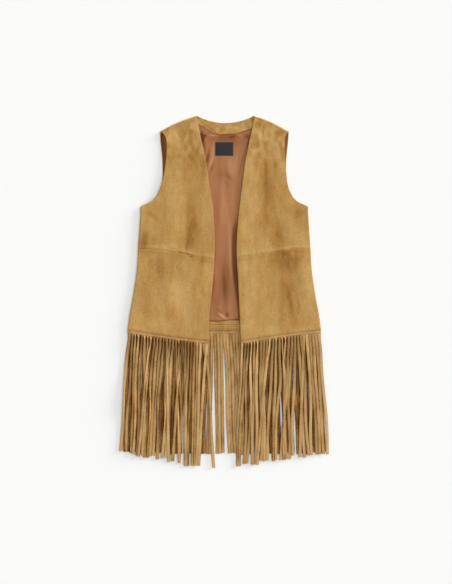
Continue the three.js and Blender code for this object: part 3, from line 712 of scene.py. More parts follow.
# %% Rows of a front
PUCKER_COLUMNS = "x half_width reach rise"
PUCKERS = {
    "right": table(PUCKER_COLUMNS, (-99, 20, 13, 0.8), (-170, 40, 8, 0.2)),
    "left": table(PUCKER_COLUMNS, (166, 18, 12, 0.8), (90, 45, 8, 0.2)),
}
PUCKER_PITCH = 0.0075
TOP_SHARE = 0.09           # share of the upper rows that go to the shoulder's roll


def upper_row(side, v):
    """A row above the waist: the heights of its ends and how far it bows with shoulder or waist."""
    front = FRONTS[side]
    if v < TOP_SHARE:
        turn, t = (1 - v / TOP_SHARE) * math.pi / 2, 0.0
    else:
        turn, t = 0.0, denser_ends((v - TOP_SHARE) / (1 - TOP_SHARE))
    inset = ROLL * (1 - math.sin(turn)) * (1 - t) ** 6
    length = NECK.y - front.waist
    return SimpleNamespace(
        inner=mix(NECK.y, front.waist, t), outer=mix(TIP.y, SIDE_WAIST, t), bow=(1 - t) ** 6,
        arch=t**6, hem=0.0, inset=inset, turn=turn, above=1,
        from_top=inset + t * length, from_waist=(1 - t) * length, from_hem=1.0)


def lower_row(side, v):
    """A row between the waist seam and the hem."""
    front = FRONTS[side]
    t = denser_ends(v)
    length = front.waist - front.hem
    return SimpleNamespace(
        inner=mix(front.waist - SEWN, front.hem, t), outer=mix(SIDE_WAIST - SEWN, SIDE_HEM, t),
        bow=0.0, arch=(1 - t) ** 2, hem=t**2, inset=0.0, turn=0.0, above=-1,
        from_top=1.0, from_waist=t * length, from_hem=(1 - t) * length)


print("row at the middle of the right front:", f"{upper_row('right', 0.5).outer:.3f} m")

# %% Heights and tones of a front
TURNED_EDGE = 0.006        # a turned edge is double this far in, and the step behind it fades
TURNED_FADE = 0.003
EDGE_ROUND = 0.0030
EDGE_DROP = 0.0003
WAIST_DIP = 0.0003
HEM_DIP = 0.0008
SEAM_REACH = 0.0024
SHOULDER_SEAM = 0.0036     # the shoulder seam shows as a line this far inside the fold
SHOULDER_DIP = 0.00018
ALLOWANCE = SimpleNamespace(middle=0.006, half_width=0.004, rise=0.0003)  # cloth lies double there


def front_height(side, x, y):
    return FRONT_TOP + folded(FOLDS[side], x, y) + folded(CREASES[side], x, y)


def eased(side, x, distance):
    """Small puckers that run into the waist seam."""
    total = 0.0
    for pucker in PUCKERS[side]:
        place = bump(x - pucker["x"], pucker["half_width"]) * math.exp(-distance / pucker["reach"])
        total += pucker["rise"] * place * math.sin(2 * math.pi * x / PUCKER_PITCH + 40 * distance)
    return total


def front_detail(side, x, y, row, edge):
    """What sewing does to a front's height: dips at the seams, puckers and rounded edges."""
    seams = soft_lines(
        (row.from_waist, SEAM_REACH, -WAIST_DIP),
        (row.from_hem, SEAM_REACH, -HEM_DIP),
        (row.from_top - SHOULDER_SEAM, 0.0010, -SHOULDER_DIP),
        (row.from_waist - ALLOWANCE.middle, ALLOWANCE.half_width, ALLOWANCE.rise),
        (row.from_hem - ALLOWANCE.middle, ALLOWANCE.half_width, ALLOWANCE.rise))
    rounded = EDGE_DROP * (1 - clamp(edge / EDGE_ROUND)) ** 2
    return rumple(x, y) + seams + eased(side, x, row.from_waist) - rounded


# Painted light and shade on the rolled edges. The light comes from the wearer's left: the right
# front's side roll, turned away from it, gets painted light, the left front's, turned to it, gets
# painted shade, and both shoulder rolls get painted light
ROLLED_PAINTED_LIGHT_AND_SHADE = {"right": 0.6, "left": -0.8}
SHOULDER_PAINTED_LIGHT = {"right": 0.5, "left": 0.1}
# Painted shade in the troughs of the folds, at full strength this deep
TROUGH_PAINTED_SHADE = 0.35
TROUGH_DEPTH = 0.002
MOTTLED_FROM = 0.280       # towards the shoulders the nap is more mottled


def front_tone(side, x, y, row, edge, from_side, rolled):
    """Painted shade in troughs and on free edges, painted light and shade on the rolls and in
    patches, darker seams, and more mottled nap towards the shoulders.
    """
    height = front_height(side, x, y) - FRONT_TOP
    painted_trough_shade = TROUGH_PAINTED_SHADE * (clamp(height / TROUGH_DEPTH + 1) - 1)
    shades = folded(PAINTED_AND_NAP_SHADES[side], x, y, "tone") + folded(HALF_PAINTED_AND_NAP_SHADES[side, row.above], x, y, "tone")
    lines = soft_lines(
        (edge, 0.0012, -0.4),
        (from_side, 0.0026, ROLLED_PAINTED_LIGHT_AND_SHADE[side] * rolled),
        (row.from_waist, 0.0016, -0.15),
        (row.from_waist - 0.005, 0.006, 0.25 * row.above),
        (row.from_hem, 0.0020, -0.30),
        (row.from_top - SHOULDER_SEAM, 0.0014, -0.75),
        (row.from_top - 0.0004, 0.0018, SHOULDER_PAINTED_LIGHT[side]))
    mottled = noise.noise(Vector((x / 0.012, y / 0.017, 8.2))) * smooth((y - MOTTLED_FROM) / 0.100)
    return painted_trough_shade + shades + lines + mottled


def front_place(side, row, u):
    """One point of a front, with its tone and how far it belongs to a turned edge."""
    sign = FRONTS[side].sign
    inner = on_curve(OPENING, side, row.inner - row.inset)
    outer = on_curve(EDGES, side, row.outer - row.inset)
    width = outer - inner
    reach, turn = station(u, width)
    x = sign * (inner + width * reach)
    y = mix(row.inner, row.outer, reach) - row.inset / math.cos(SHOULDER_SLOPE)
    y += row.bow * SHOULDER_ROUND * math.sin(math.pi * reach)
    y += row.arch * WAIST_ARCH * math.sin(math.pi * reach**2)
    y += row.hem * FRONTS[side].hem_bow * math.sin(math.pi * reach)
    rolled = side_roll(row.outer)
    from_side = width * (1 - reach)
    edge = min(width * reach, from_side + rolled)
    seam_height = ROLL + SEAM / 2
    height = front_height(side, x, y) + front_detail(side, x, y, row, edge) - seam_height
    z = seam_height + height * keep(rolled, turn) * keep(1, row.turn)
    tone = front_tone(side, x, y, row, edge, from_side, rolled)
    return Vector((x, y, z)), tone, 1 - smooth((edge - TURNED_EDGE) / TURNED_FADE)


print("waist dips", WAIST_DIP * 1000, "mm, rounded edge", EDGE_ROUND * 1000, "mm wide")

# %% Lay the fronts
fronts = {}
for side in FRONTS:
    fronts[side, "upper"] = lay_sheet(
        f"{side}_front_upper_suede", SUEDE_FACE, 76, 130, turned=True,
        place=lambda u, v, side=side: front_place(side, upper_row(side, v), u))
    fronts[side, "lower"] = lay_sheet(
        f"{side}_front_lower_suede", SUEDE_FACE, 80, 88, turned=True,
        place=lambda u, v, side=side: front_place(side, lower_row(side, v), u))

# %% [markdown]
# The back
#
# The back lies underneath with its outside down, flat on the surface. Only its rolled sides, its
# armhole edges and the line of its neck show from above, but seen from behind it is the largest
# piece, so it gets its own waist seam and a few soft hollows where the cloth lifts off the floor.

# %% Lines across the back
BACK_FOLDS = table(
    FOLD_COLUMNS,
    (-120, 300, 80, 16, 6, 0.5), (96, 330, 70, 14, -5, 0.6), (-44, 190, 110, 18, -3, 0.5),
    (150, 150, 80, 16, -12, 0.6), (-168, 70, 70, 18, 9, 0.6), (30, 40, 100, 15, 2, 0.5),
    (-90, -20, 60, 14, 4, 0.5), (188, -10, 60, 16, -13, 0.6),
)


def top_line(x):
    """The garment's top line: the neckline's dip, then the shoulder seams."""
    from_centre = abs(x - NECK.centre)
    if from_centre <= NECK.x:
        return mix(NECK.low, NECK.y, (from_centre / NECK.x) ** 2)
    neck_point = NECK.x + math.copysign(NECK.centre, x)
    t = clamp((abs(x) - neck_point) / (TIP.x - neck_point))
    return mix(NECK.y, TIP.y, t) + SHOULDER_ROUND * math.sin(math.pi * t)


def shoulder_roll(x, fade=0.016):
    """The top line rolls over along a shoulder seam and lies open round the neck."""
    return smooth((abs(x - NECK.centre) - NECK.x + fade) / fade)


def back_waist(x):
    return BACK_WAIST + (SIDE_WAIST - BACK_WAIST) * (x / on_curve(EDGES, "back", SIDE_WAIST)) ** 2


def back_hem(x):
    return BACK_HEM + (SIDE_HEM - BACK_HEM) * (x / EDGES[-1]["back"]) ** 2


print(f"centre back length to the hem: {(top_line(0) - back_hem(0)) * 1000:.0f} mm")

# %% Lay the back
FLAT_BACK = 0.90           # share of half the columns before the roll starts
BACK_SEAM_RISE = 0.0005
BACK_SEAM_REACH = 0.0020
BACK_SEAM_LINE = 0.0018


def back_column(u):
    """Side, flat share and turn of a column that runs from edge to edge."""
    across = 2 * u - 1
    share = min(abs(across) / FLAT_BACK, 1.0)
    turn = max(0.0, (abs(across) - FLAT_BACK) / (1 - FLAT_BACK)) * math.pi / 2
    return math.copysign(1, across), share, turn


def back_place(y, t, top_turn, from_seam, u):
    """One point of the back's outer face, which looks down."""
    sign, share, turn = back_column(u)
    edge = on_curve(EDGES, "back", y)
    rolled_out = ROLL * math.sin(turn)
    tip_x = sign * (share * (TIP.x - ROLL) + rolled_out)
    x = sign * (share * (edge - ROLL) + rolled_out)
    inset = ROLL * (1 - math.sin(top_turn)) * (1 - t) ** 6
    level = y + (top_line(tip_x) - TIP.y) * (1 - t) ** 2 + (back_waist(x) - SIDE_WAIST) * t**4
    level -= inset / math.cos(SHOULDER_SLOPE)
    seam_height = ROLL - SEAM / 2
    kept = keep(side_roll(y), turn) * keep(shoulder_roll(tip_x), top_turn)
    lifted = folded(BACK_FOLDS, x, level) + BACK_SEAM_RISE * bump(from_seam, BACK_SEAM_REACH)
    tone = 0.5 * noise.noise(Vector((x / 0.05, level / 0.09, 1.3))) - bump(from_seam, BACK_SEAM_LINE)
    return Vector((x, level, seam_height + (lifted - seam_height) * kept)), tone, 0.0


def back_upper_place(u, v):
    if v < TOP_SHARE:
        return back_place(TIP.y, 0.0, (1 - v / TOP_SHARE) * math.pi / 2, 1.0, u)
    t = denser_ends((v - TOP_SHARE) / (1 - TOP_SHARE))
    return back_place(mix(TIP.y, SIDE_WAIST, t), t, 0.0, (1 - t) * (TIP.y - SIDE_WAIST), u)


def back_lower_place(u, v):
    t = denser_ends(v)
    point, tone, turned = back_place(mix(SIDE_WAIST - SEWN, SIDE_HEM, t), 1.0, 0.0, 1.0, u)
    point.y = mix(back_waist(point.x) - SEWN, back_hem(point.x), t)
    distance = t * (SIDE_WAIST - SIDE_HEM)
    if abs(2 * u - 1) <= FLAT_BACK:
        point.z += BACK_SEAM_RISE * bump(distance, BACK_SEAM_REACH)
    return point, tone - bump(distance, BACK_SEAM_LINE), turned


back_upper = lay_sheet("back_upper_suede", SUEDE_FACE, 120, 100, back_upper_place, faces_up=False)
back_lower = lay_sheet("back_lower_suede", SUEDE_FACE, 120, 64, back_lower_place, faces_up=False)

# %% [markdown]
# The inside of the back
#
# The lining is cut a little longer than the suede so that it never pulls, and the spare length lies in
# wrinkles, with one deep pleat beside the neck facing and a small one at its foot. The wrinkles are
# listed one by one for the same reason as the folds. The neck facing and the hem band are suede strips
# that finish the back's edges, and the lining is sewn under both.

# %% Wrinkles of the lining
LINING_FOLDS = table(
    FOLD_COLUMNS,
    (-43.7, 348, 18, 3.6, 12, -0.8), (-36, 334, 20, 4, 20, 1.2), (-33.3, 318, 20, 3.2, 18, -0.7),
    (-30, 372, 34, 7, 16, 1.1), (-55, 401, 14, 6, 40, -1), (18, 300, 50, 11, -10, 1),
    (13, 295, 11, 3.5, -50, -0.6), (18, 230, 80, 8, -4, 1.1), (-10, 180, 80, 9, 3, 1),
    (15, 70, 80, 7, -2, 1.4), (-0.8, 18, 45, 5.5, -2, -1), (-12, -20, 40, 6, 4, 1),
    (48, 372, 34, 6, 14, 0.9), (-26, 60, 70, 6, -2, 0.8), (-7.3, -63, 14, 3.4, -50, 1.8),
    (7, -60, 8, 3.4, -20, -0.9),
)
# Painted shade in the lining's wrinkles and pleats and painted highlights on its satin, darker at the
# top and the foot and lighter in the middle
LINING_PAINTED_SHADES = table(
    SHADE_COLUMNS,
    (-61, 402, 13, 4.5, 14, -1.5), (-54, 406, 4, 8, 0, -1), (-54, 397, 12, 2.8, 30, -0.9),
    (-54.5, 388, 22, 3.5, -14, -1.2), (-43.7, 348, 18, 3.4, 12, -1.3),
    (-33.3, 322, 18, 2.8, 18, -0.8), (-36.5, 334, 16, 3.2, 20, 0.5), (-32, 375, 24, 8, 12, 0.25),
    (4, 400, 8, 26, 0, -0.25), (59, 404, 6, 6, 40, -0.9), (2, 396, 22, 50, 0, -0.62),
    (-28, 406.5, 2.6, 15, 4, 0.7), (20, 402.5, 2.4, 10, -12, -0.8), (38, 408, 2.6, 9, 16, 0.5),
    (-6, 10, 70, 40, 0, -0.45), (0, 230, 70, 30, 0, 0.18), (65, 392, 22, 3.5, 14, -1.4),
    (50, 350, 30, 4, 14, -0.5), (17.4, 327, 22, 14, 0, 0.35), (-6, 302, 12, 15, 0, -0.35),
    (12.5, 296, 10, 2.8, -50, -0.5), (-22, 190, 70, 7, 3, -0.35), (15, 75, 85, 5, -2, 0.45),
    (-0.8, 15, 45, 6, -3, -0.6), (-24, 100, 32, 4, 1, -0.6), (-30, 18, 30, 5, 6, -0.5),
    (-16, -10, 50, 6, 2, 0.3), (15, -35, 30, 6, -2, 0.25), (-7.3, -63, 11, 3, -50, 1.1),
    (7, -60, 6, 3.6, -20, -1.4), (-14, -50, 9, 2.6, -55, -0.6), (33, -74, 6, 8, 0, -1.2),
)
# How dark the lining is inside each armhole, at its foot and at its top: less on the side that the
# light reaches
ARMHOLE_SHADES = {-1: (0.7, 1.5), 1: (0.2, 1.1)}
LABEL = SimpleNamespace(x=0.0002, y=0.371, width=0.0465, height=0.035)
FACING = SimpleNamespace(low=0.4098, rise=0.030, half_width=0.098, pull=0.011, wave=0.0009)
# Size and reach of the painted shadow that the left front's edge casts on the lining
FRONT_SHADOW_STRIP = SimpleNamespace(narrow=0.0030, wide=0.0100, soft=0.0040, top=0.215, foot=-0.080)
BAND_DEPTH = 0.0247
EDGE_TURN = 0.0015         # width of the edge of the back that shows beside its inside pieces
INSIDE_ROLL = ROLL + 0.001  # and this much more where the cloth rolls over
FLATTENED = 0.010          # the lining lies flat this far round the label
LINING_FOOT = BACK_HEM + BAND_DEPTH


def facing_edge(x):
    """The facing's lower edge: it waves, is pulled up near the right front and ends in its place."""
    pulled = FACING.pull * smooth((-x - 0.026) / 0.030) * smooth((x + FACING.half_width) / 0.026)
    wave = FACING.wave * math.sin(x / 0.0062) * smooth((0.060 - abs(x)) / 0.020)
    return FACING.low + FACING.rise * (x / FACING.half_width) ** 2 + pulled + wave


def lining_edge(y):
    """The lining keeps inside the armhole's turned edge and inside the side's roll."""
    return on_curve(EDGES, "back", y) - EDGE_TURN - side_roll(y) * INSIDE_ROLL


def inside_top(x):
    return top_line(x) - EDGE_TURN - shoulder_roll(x) * INSIDE_ROLL


def in_front_edge_shadow(x, y):
    """1 in the strip of lining beside the left front that gets its painted shadow, wide at the
    waist.
    """
    inward = on_curve(OPENING, "left", y) - x
    width = mix(FRONT_SHADOW_STRIP.narrow, FRONT_SHADOW_STRIP.wide, smooth((y + 0.060) / 0.120)) * smooth((0.260 - y) / 0.120)
    along = smooth((FRONT_SHADOW_STRIP.top - y) / 0.070) * smooth((y - FRONT_SHADOW_STRIP.foot) / 0.020)
    return along * (1 - smooth((inward - width) / FRONT_SHADOW_STRIP.soft))


def under_label(x, y):
    """1 under the label, where the lining lies flat, and 0 away from it."""
    sideways = smooth(1 + (LABEL.width / 2 - abs(x - LABEL.x)) / FLATTENED)
    lengthways = smooth(1 + (LABEL.height / 2 - abs(y - LABEL.y)) / FLATTENED)
    return sideways * lengthways


print(f"lining from {LINING_FOOT * 1000:.0f} mm to {facing_edge(0) * 1000:.0f} mm at the centre")

# %% Lay the lining
LINING_TOP = TIP.y - ROLL - EDGE_TURN
LINING_WALL = 0.0006
FOOT_GAP = 0.002
FOOT_WAVE = 0.0015
FINE_WRINKLE = 0.0004
# How dark the painted shadow beside the left front is
FRONT_SHADOW_TONE = 1.25
ARMHOLE_REACH = 0.013      # width of the shade inside an armhole


def lining_place(u, v):
    t = denser_ends(v)
    edge = lining_edge(mix(LINING_TOP, LINING_FOOT, t))
    across = 2 * u - 1
    x = across * edge
    at_top = across * lining_edge(LINING_TOP)
    top = min(facing_edge(at_top) - SEAM, inside_top(at_top))
    foot = LINING_FOOT + FOOT_GAP + FOOT_WAVE * math.sin(x / 0.014)
    y = mix(top, foot, t)
    from_foot = y - foot
    from_top = top - y
    wrinkled = folded(LINING_FOLDS, x, y) + folded(BACK_FOLDS, x, y)
    wrinkled += FINE_WRINKLE * noise.noise(Vector((x / 0.012, y / 0.060, 5.0)))
    wrinkled *= 1 - under_label(x, y)
    rolled = soft_lines(
        (from_foot - 0.004, 0.006, 0.0011), (from_foot, 0.0015, -0.0006), (from_top, 0.003, -0.0004))
    tone = folded(LINING_PAINTED_SHADES, x, y, "tone")
    # Painted shade along the lining's foot, beside the hem band, and along its top, under the facing
    tone += soft_lines((from_foot, 0.0018, -0.8), (from_top, 0.004, -0.6))
    low, high = ARMHOLE_SHADES[-1 if x < 0 else 1]
    shaded = mix(low, high, smooth((y - 0.25) / 0.14)) * smooth((y - UNDERARM.rolled) / 0.02)
    tone -= shaded * bump(edge - abs(x), ARMHOLE_REACH) + FRONT_SHADOW_TONE * in_front_edge_shadow(x, y)
    return Vector((x, y, INSIDE + SATIN + wrinkled + rolled)), tone, 0.0


lining = lay_sheet("satin_lining", SATIN_LINING, 170, 190, lining_place,
                   thickness=LINING_WALL)

# %% Lay the neck facing and the hem band
BAND_ROWS = (-0.0829, -0.0900, -0.0949)
CENTRE_BACK = 0.0034
INSIDE_TOP = INSIDE + SUEDE
BESIDE_STITCHES = 0.0012


def facing_place(u, v):
    across = 2 * u - 1
    x = across * FACING.half_width
    top, low = inside_top(x), facing_edge(x)
    y = mix(top, low, denser_ends(v, 0.6))
    edge = min(top - y, y - low)
    up = y - 0.430
    crease = 0.0008 * bump(x + 0.040 + up * 1.2, 0.004) * bump(up, 0.012)
    height = rumple(x, y) - 0.0006 * (1 - clamp(edge / 0.0025)) ** 2 + crease
    worn = noise.noise(Vector((x / 0.011, y / 0.008, 4.4)))
    # Painted shade along the crease; a band across the middle and the lower edge are paler, and the
    # top edge is darker
    tone = 0.8 * worn + soft_lines(
        (y - mix(low, top, 0.55), 0.005, 0.2), (y - low, 0.0018, 0.5),
        (x + 0.036 + up * 0.9, 0.0030, -0.7), (top - y, 0.0014, -0.5))
    return Vector((x, y, INSIDE_TOP + height)), tone, 0.0


def band_place(u, v):
    across = 2 * u - 1
    x = across * lining_edge(LINING_FOOT)
    top, low = LINING_FOOT, back_hem(x) + EDGE_TURN
    y = mix(top, low, v)
    edge = min(top - y, y - low)
    padded = sum(
        soft_lines((y - row - BESIDE_STITCHES, 0.0011, 1), (y - row + BESIDE_STITCHES, 0.0010, -1))
        for row in BAND_ROWS)
    seam = bump(x - CENTRE_BACK, 0.0012)
    height = 0.0004 * (padded + seam) - 0.0005 * (1 - clamp(edge / 0.002)) ** 2 + rumple(x, y)
    # The tone is painted light where the cloth puffs up beside each row of stitches and on the
    # centre-back seam, and painted shade where it sinks; the whole band is darker
    return Vector((x, y, INSIDE_TOP + height)), 0.60 * padded + 0.7 * seam - 0.50, 0.0


neck_facing = lay_sheet("neck_facing_suede", SUEDE_FACE, 100, 18, facing_place)
hem_band = lay_sheet("hem_band_suede", SUEDE_FACE, 150, 26, band_place)

# %% [markdown]
# The label
#
# A plain woven label is stitched to the lining under the neck. It is a folded ribbon, so its ends are
# round and its face bows up a little between the stitches, and it stays bare.

# %% Lay the label
LABEL_WALL = 0.0009
LABEL_TOP = INSIDE + SATIN + SEAM + 0.0010
LABEL_ROUND = 0.0004
LABEL_BOW = 0.0003


def label_place(u, v):
    across, up = 2 * u - 1, 1 - 2 * v
    x = LABEL.x + across * LABEL.width / 2
    y = LABEL.y + up * LABEL.height / 2
    rounded = LABEL_ROUND * (abs(across) ** 14 + abs(up) ** 14)
    bow = LABEL_BOW * (1 - across**2) * (1 - up**2)
    return Vector((x, y, LABEL_TOP - rounded + bow)), 0.0, 0.0


label = lay_sheet("woven_label_bare", LABEL_CLOTH, 36, 28, label_place,
                  thickness=LABEL_WALL)

# %% [markdown]
# Stitches
#
# A machine stitch is a short length of thread that dips into the cloth at both ends. Hundreds of them
# are needed, so each is a small sphere of few faces, drawn out along the seam, and a whole row is one
# mesh.

# %% Rows of stitches
STITCH_LENGTH = 0.0026
STITCH_PITCH = 0.0034
THREAD_RADIUS = 0.00035
ON_CLOTH = 0.0001          # height of a thread's middle above the cloth
BAND_MARGIN = 0.006
LABEL_MARGIN = SimpleNamespace(side=0.0016, end=0.0020)


def sew_row(shape, start, stop, height):
    """Adds stitches along a straight row on cloth of one height."""
    run = Vector(stop) - Vector(start)
    count = max(1, round(run.length / STITCH_PITCH))
    turn = math.atan2(run.y, run.x)
    for k in range(count):
        place = Vector(start) + run * ((k + 0.5) / count)
        spot = Vector((place.x, place.y, height + ON_CLOTH))
        size = Vector((STITCH_LENGTH / 2, THREAD_RADIUS, THREAD_RADIUS))
        matrix = Matrix.LocRotScale(spot, Matrix.Rotation(turn, 3, "Z"), size)
        bmesh.ops.create_uvsphere(shape, u_segments=6, v_segments=4, radius=1, matrix=matrix)
    return count


band_stitches = bmesh.new()
band_reach = lining_edge(LINING_FOOT) - BAND_MARGIN
sewn = sum(sew_row(band_stitches, (-band_reach, row), (band_reach, row), INSIDE_TOP)
           for row in BAND_ROWS)
hem_stitches = add_piece("hem_band_stitches", band_stitches, SUEDE_THREAD)

label_rows = bmesh.new()
for end in (-1, 1):
    x = LABEL.x + end * (LABEL.width / 2 - LABEL_MARGIN.side)
    reach = LABEL.height / 2 - LABEL_MARGIN.end
    sewn += sew_row(label_rows, (x, LABEL.y - reach), (x, LABEL.y + reach), LABEL_TOP)
label_stitches = add_piece("label_stitches", label_rows, LABEL_THREAD)
print("stitches sewn:", sewn)

# %% [markdown]
# The fringe
#
# A fringe is one strip of hide, slit with a knife into strands that stay joined along the top. It is
# made here in the same way: one grid for the whole strip, whose edges are split between the strands
# below the uncut part. Each strand then gets its own route, a twist near its root where it hangs from
# the hem, and edges that curl. The strands lie in clumps, and each clump has one row in a table.

# %% Clumps of strands
CLUMP_COLUMNS = "strands x y apart"

CLUMPS = {
    "right": table(
        CLUMP_COLUMNS,
        (2, -261.4, -413, 11), (2, -241, -418, 8.4), (3, -219.5, -424, 6.8),
        (2, -201.5, -428, 5.4), (2, -185.4, -423, 7.6), (1, -170, -433, 0), (2, -156, -430, 6),
        (2, -137.5, -438, 8.4), (2, -118, -442, 5.6), (7, -84.5, -449, 6.2), (1, -27.8, -454.6, 0),
    ),
    "left": table(
        CLUMP_COLUMNS,
        (2, 38.4, -452, 8), (2, 57.4, -444, 8.2), (3, 79.2, -446, 5.6), (2, 97, -436, 5.6),
        (2, 111.4, -437, 6), (2, 129.7, -436, 5.6), (2, 149, -434, 5.4), (2, 165, -432, 5.4),
        (1, 176.8, -422, 0), (2, 200.6, -428, 8.4), (2, 221.8, -421, 8.4), (2, 243.8, -421, 7.6),
        (2, 262.4, -419, 9.4),
    ),
    "back": table(
        CLUMP_COLUMNS,
        (5, -244, -414, 7.2), (5, -203, -419, 7.4), (4, -166, -416, 6.8), (5, -128, -420, 7.6),
        (4, -91, -417, 7.2), (5, -51, -419, 6.8), (3, -11, -418, 7.6), (3, 21.4, -418, 7.2),
        (6, 56, -420, 7), (4, 93, -417, 7), (5, 131, -419, 7.4), (4, 168, -416, 7.2),
        (5, 206, -419, 7.2), (5, 246, -415, 7.2),
    ),
}


def strand_ends(clumps):
    """Where each strand ends, from its clump's middle and how far apart its strands lie."""
    ends = []
    for clump in clumps:
        for k in range(clump["strands"]):
            offset = (k - (clump["strands"] - 1) / 2) * clump["apart"]
            ends.append(SimpleNamespace(x=clump["x"] + offset, y=clump["y"]))
    return ends


print("strands:", {side: len(strand_ends(clumps)) for side, clumps in CLUMPS.items()})

# %% How a strand lies
STRIP_DEPTH = 0.006
STRAND_WIDTH = {"back": 0.0081, "right": 0.0078, "left": 0.0078}
STRAND_THICKNESS = 0.0012
SETTLE = 0.12              # share of its length after which a strand has come down to its layer
SWAY = {"back": 0.0024, "right": 0.0028, "left": 0.0030}
LOOSE_ENDS = 0.008         # how far a twisted strand's end strays from its place in the clump
FLAT_TONE = {"back": 0.10, "right": 0.50, "left": 0.50}
UNEVEN = 0.003
LAYERS = {"back": (0.0005, 0.0020), "front": (0.0037, 0.0056)}
BACK_FRINGE_END = -0.424
BACK_STRANDS_TOP = 0.0034
LOWEST_STRAND = 0.0006
FLOOR_CLEARANCE = 0.0005
CURL = 0.0003

# Strands that cross others: the first number's strand ends in the second's place, and each strand
# between them ends in its neighbour's
CROSSINGS = {
    "right": ((24, 25), (7, 5), (12, 14), (17, 15)),
    "left": ((9, 6), (13, 15), (20, 18)),
    "back": (),
}

# Strands that leave their neighbours: how far to the side, where along their length, over how much
# of it, and how high they lie over the others. The strands that cross are lifted here as well.
DETOUR_COLUMNS = "strand aside at over lift"
DETOURS = {
    "right": table(
        DETOUR_COLUMNS,
        (24, 0, 0.22, 0.22, 1.8), (5, 5, 0.45, 0.22, 0), (11, -5, 0.5, 0.2, 0.9),
        (16, 5.5, 0.6, 0.22, 0), (19, -4, 0.4, 0.18, 0.9), (7, 0, 0.45, 0.3, 1.4),
        (12, 0, 0.45, 0.3, 3), (17, 0, 0.45, 0.3, 1.4)),
    "left": table(
        DETOUR_COLUMNS,
        (3, 6, 0.45, 0.2, 0.9), (8, -8, 0.4, 0.2, 1.2), (12, 6, 0.35, 0.18, 0.9),
        (16, -6, 0.55, 0.22, 1.2), (21, 4, 0.6, 0.2, 0), (6, 0, 0.3, 0.3, 1.5),
        (14, 7, 0.55, 0.25, 1.5), (18, 0, 0.35, 0.3, 1.5), (9, 0, 0.45, 0.3, 1.4),
        (13, 0, 0.45, 0.3, 1.4), (20, 0, 0.45, 0.3, 3)),
    "back": (),
}
LIFT_LENGTH = 1.6          # a lift is this much longer than the way aside

# How far the strands twist at their roots, in degrees, by distance from the centre line
TWISTS = {
    "right": table("x twist", (42, 8), (70, 40), (95, 62), (150, 64), (252, 56)),
    "left": table("x twist", (42, 34), (70, 62), (110, 46), (140, 56), (190, 64), (205, 12),
                  (252, 5)),
    "back": table("x twist", (0, 3), (252, 6)),
}
LOOSE_TWIST = math.radians(45)
TWIST_START = 0.018        # share of its length in which a strand takes up its twist
SECOND_LENGTH = 0.14
SECOND_TWIST = 0.75
TWIST_ONCE = 0.45          # share of the strands that don't twist again further down
TWIST_BACK = 0.35          # share of the strands that twist the other way
WANDER = math.radians(7)
RANGES = SimpleNamespace(twist=(0.72, 1.1), untwist=(0.10, 0.32), second_at=(0.35, 0.85),
                         shades=(0.35, 0.65))

# How soon a strand turns aside towards its end; a higher number keeps it straight longer
STEADY = 0.85
LONE_STRAND = ("right", 24)
LONE_STEADY = 0.62
FREE_TO = SimpleNamespace(sway=1 / 2, stray=1 / 5, turn=1 / 6, rise=1 / 6)  # shares of its length

OPEN_HALF = 0.044          # the back's strands show in the opening, this far to either side
UNDER_FRONTS = 0.68        # and are darker beyond it, in the shade of the fronts' strands
LIT_SIDE_PAINTED_SHADE = 0.35        # painted shade on a strand whose face is turned to the light
RAISED_PAINTED_LIGHT = 0.25         # painted light on the higher edge of a twisted strand and painted shade on the lower one
SUNK_PAINTED_SHADE = 1.6            # and the lower one lies in shade
# Painted shade along the edges of each strand
EDGE_PAINTED_SHADE = 0.8
# Twisted strands start from this lower tone, as painted shade
LOOSE_PAINTED_SHADE_TONE = 0.22
STRAND_MOTTLE = 0.5
WIDE_FROM = 0.006          # shares of its length from which a strand has its own width, has painted shade along its edges and curls
EDGE_SHADE_FROM = 0.02            # shows its cut edges
CURLED_FROM = 0.05         # and curls


def scatter(i, salt):
    """A repeatable number from 0 to 1 for each strand."""
    value = math.sin(i * 12.9898 + salt * 78.233) * 43758.5453
    return value - math.floor(value)


def root_twist(side, x):
    """The twist at a distance from the centre line, in a straight line between the table's rows."""
    rows = TWISTS[side]
    for near, far in zip(rows, rows[1:]):
        if abs(x) <= far["x"]:
            share = clamp((abs(x) - near["x"]) / (far["x"] - near["x"]))
            return mix(near["twist"], far["twist"], share)
    return rows[-1]["twist"]


def strand_middle(strand, t):
    """The middle of a strand's underside at a share of its length."""
    wave = math.sin(2 * math.pi * t) * smooth(t / FREE_TO.sway)
    sway = strand.sway * (2 * strand.chance - 1) * wave
    aside = soft_lines(*((t - way["at"], way["over"], way["aside"]) for way in strand.detours))
    turned_aside = abs(t) ** strand.steady * smooth(t / FREE_TO.turn)
    x = mix(strand.root.x, strand.end.x, turned_aside) + sway + aside * smooth(t / FREE_TO.stray)
    y = mix(strand.root.y, strand.end.y, t)
    lying = mix(strand.root.z, strand.layer, smooth(t / SETTLE))
    if strand.comes_down:
        past = clamp((BACK_FRINGE_END - y) / (BACK_FRINGE_END - strand.end.y))
        lying = mix(lying, strand.layer - LAYERS["front"][0] + FLOOR_CLEARANCE, past)
    raised = soft_lines(*((t - way["at"], LIFT_LENGTH * way["over"], way["lift"])
                          for way in strand.detours))
    raised *= smooth(t / FREE_TO.rise) * smooth((1 - t) / FREE_TO.rise)
    return Vector((x, y, lying + raised))


def strand_twist(strand, t):
    """The angle a strand has twisted by: most below its root, and for some again further down."""
    at_root = strand.twist * smooth(t / TWIST_START) * bump(t, strand.untwist)
    again = strand.second * bump(t - strand.second_at, SECOND_LENGTH) * smooth((1 - t) * 5)
    wander = WANDER * math.sin(2 * math.pi * (1.3 * t + strand.chance)) * smooth(t * 3)
    return at_root + again + wander * strand.loose


print("twist 20 cm from the centre, right front:", f"{root_twist('right', 0.2):.0f} degrees")

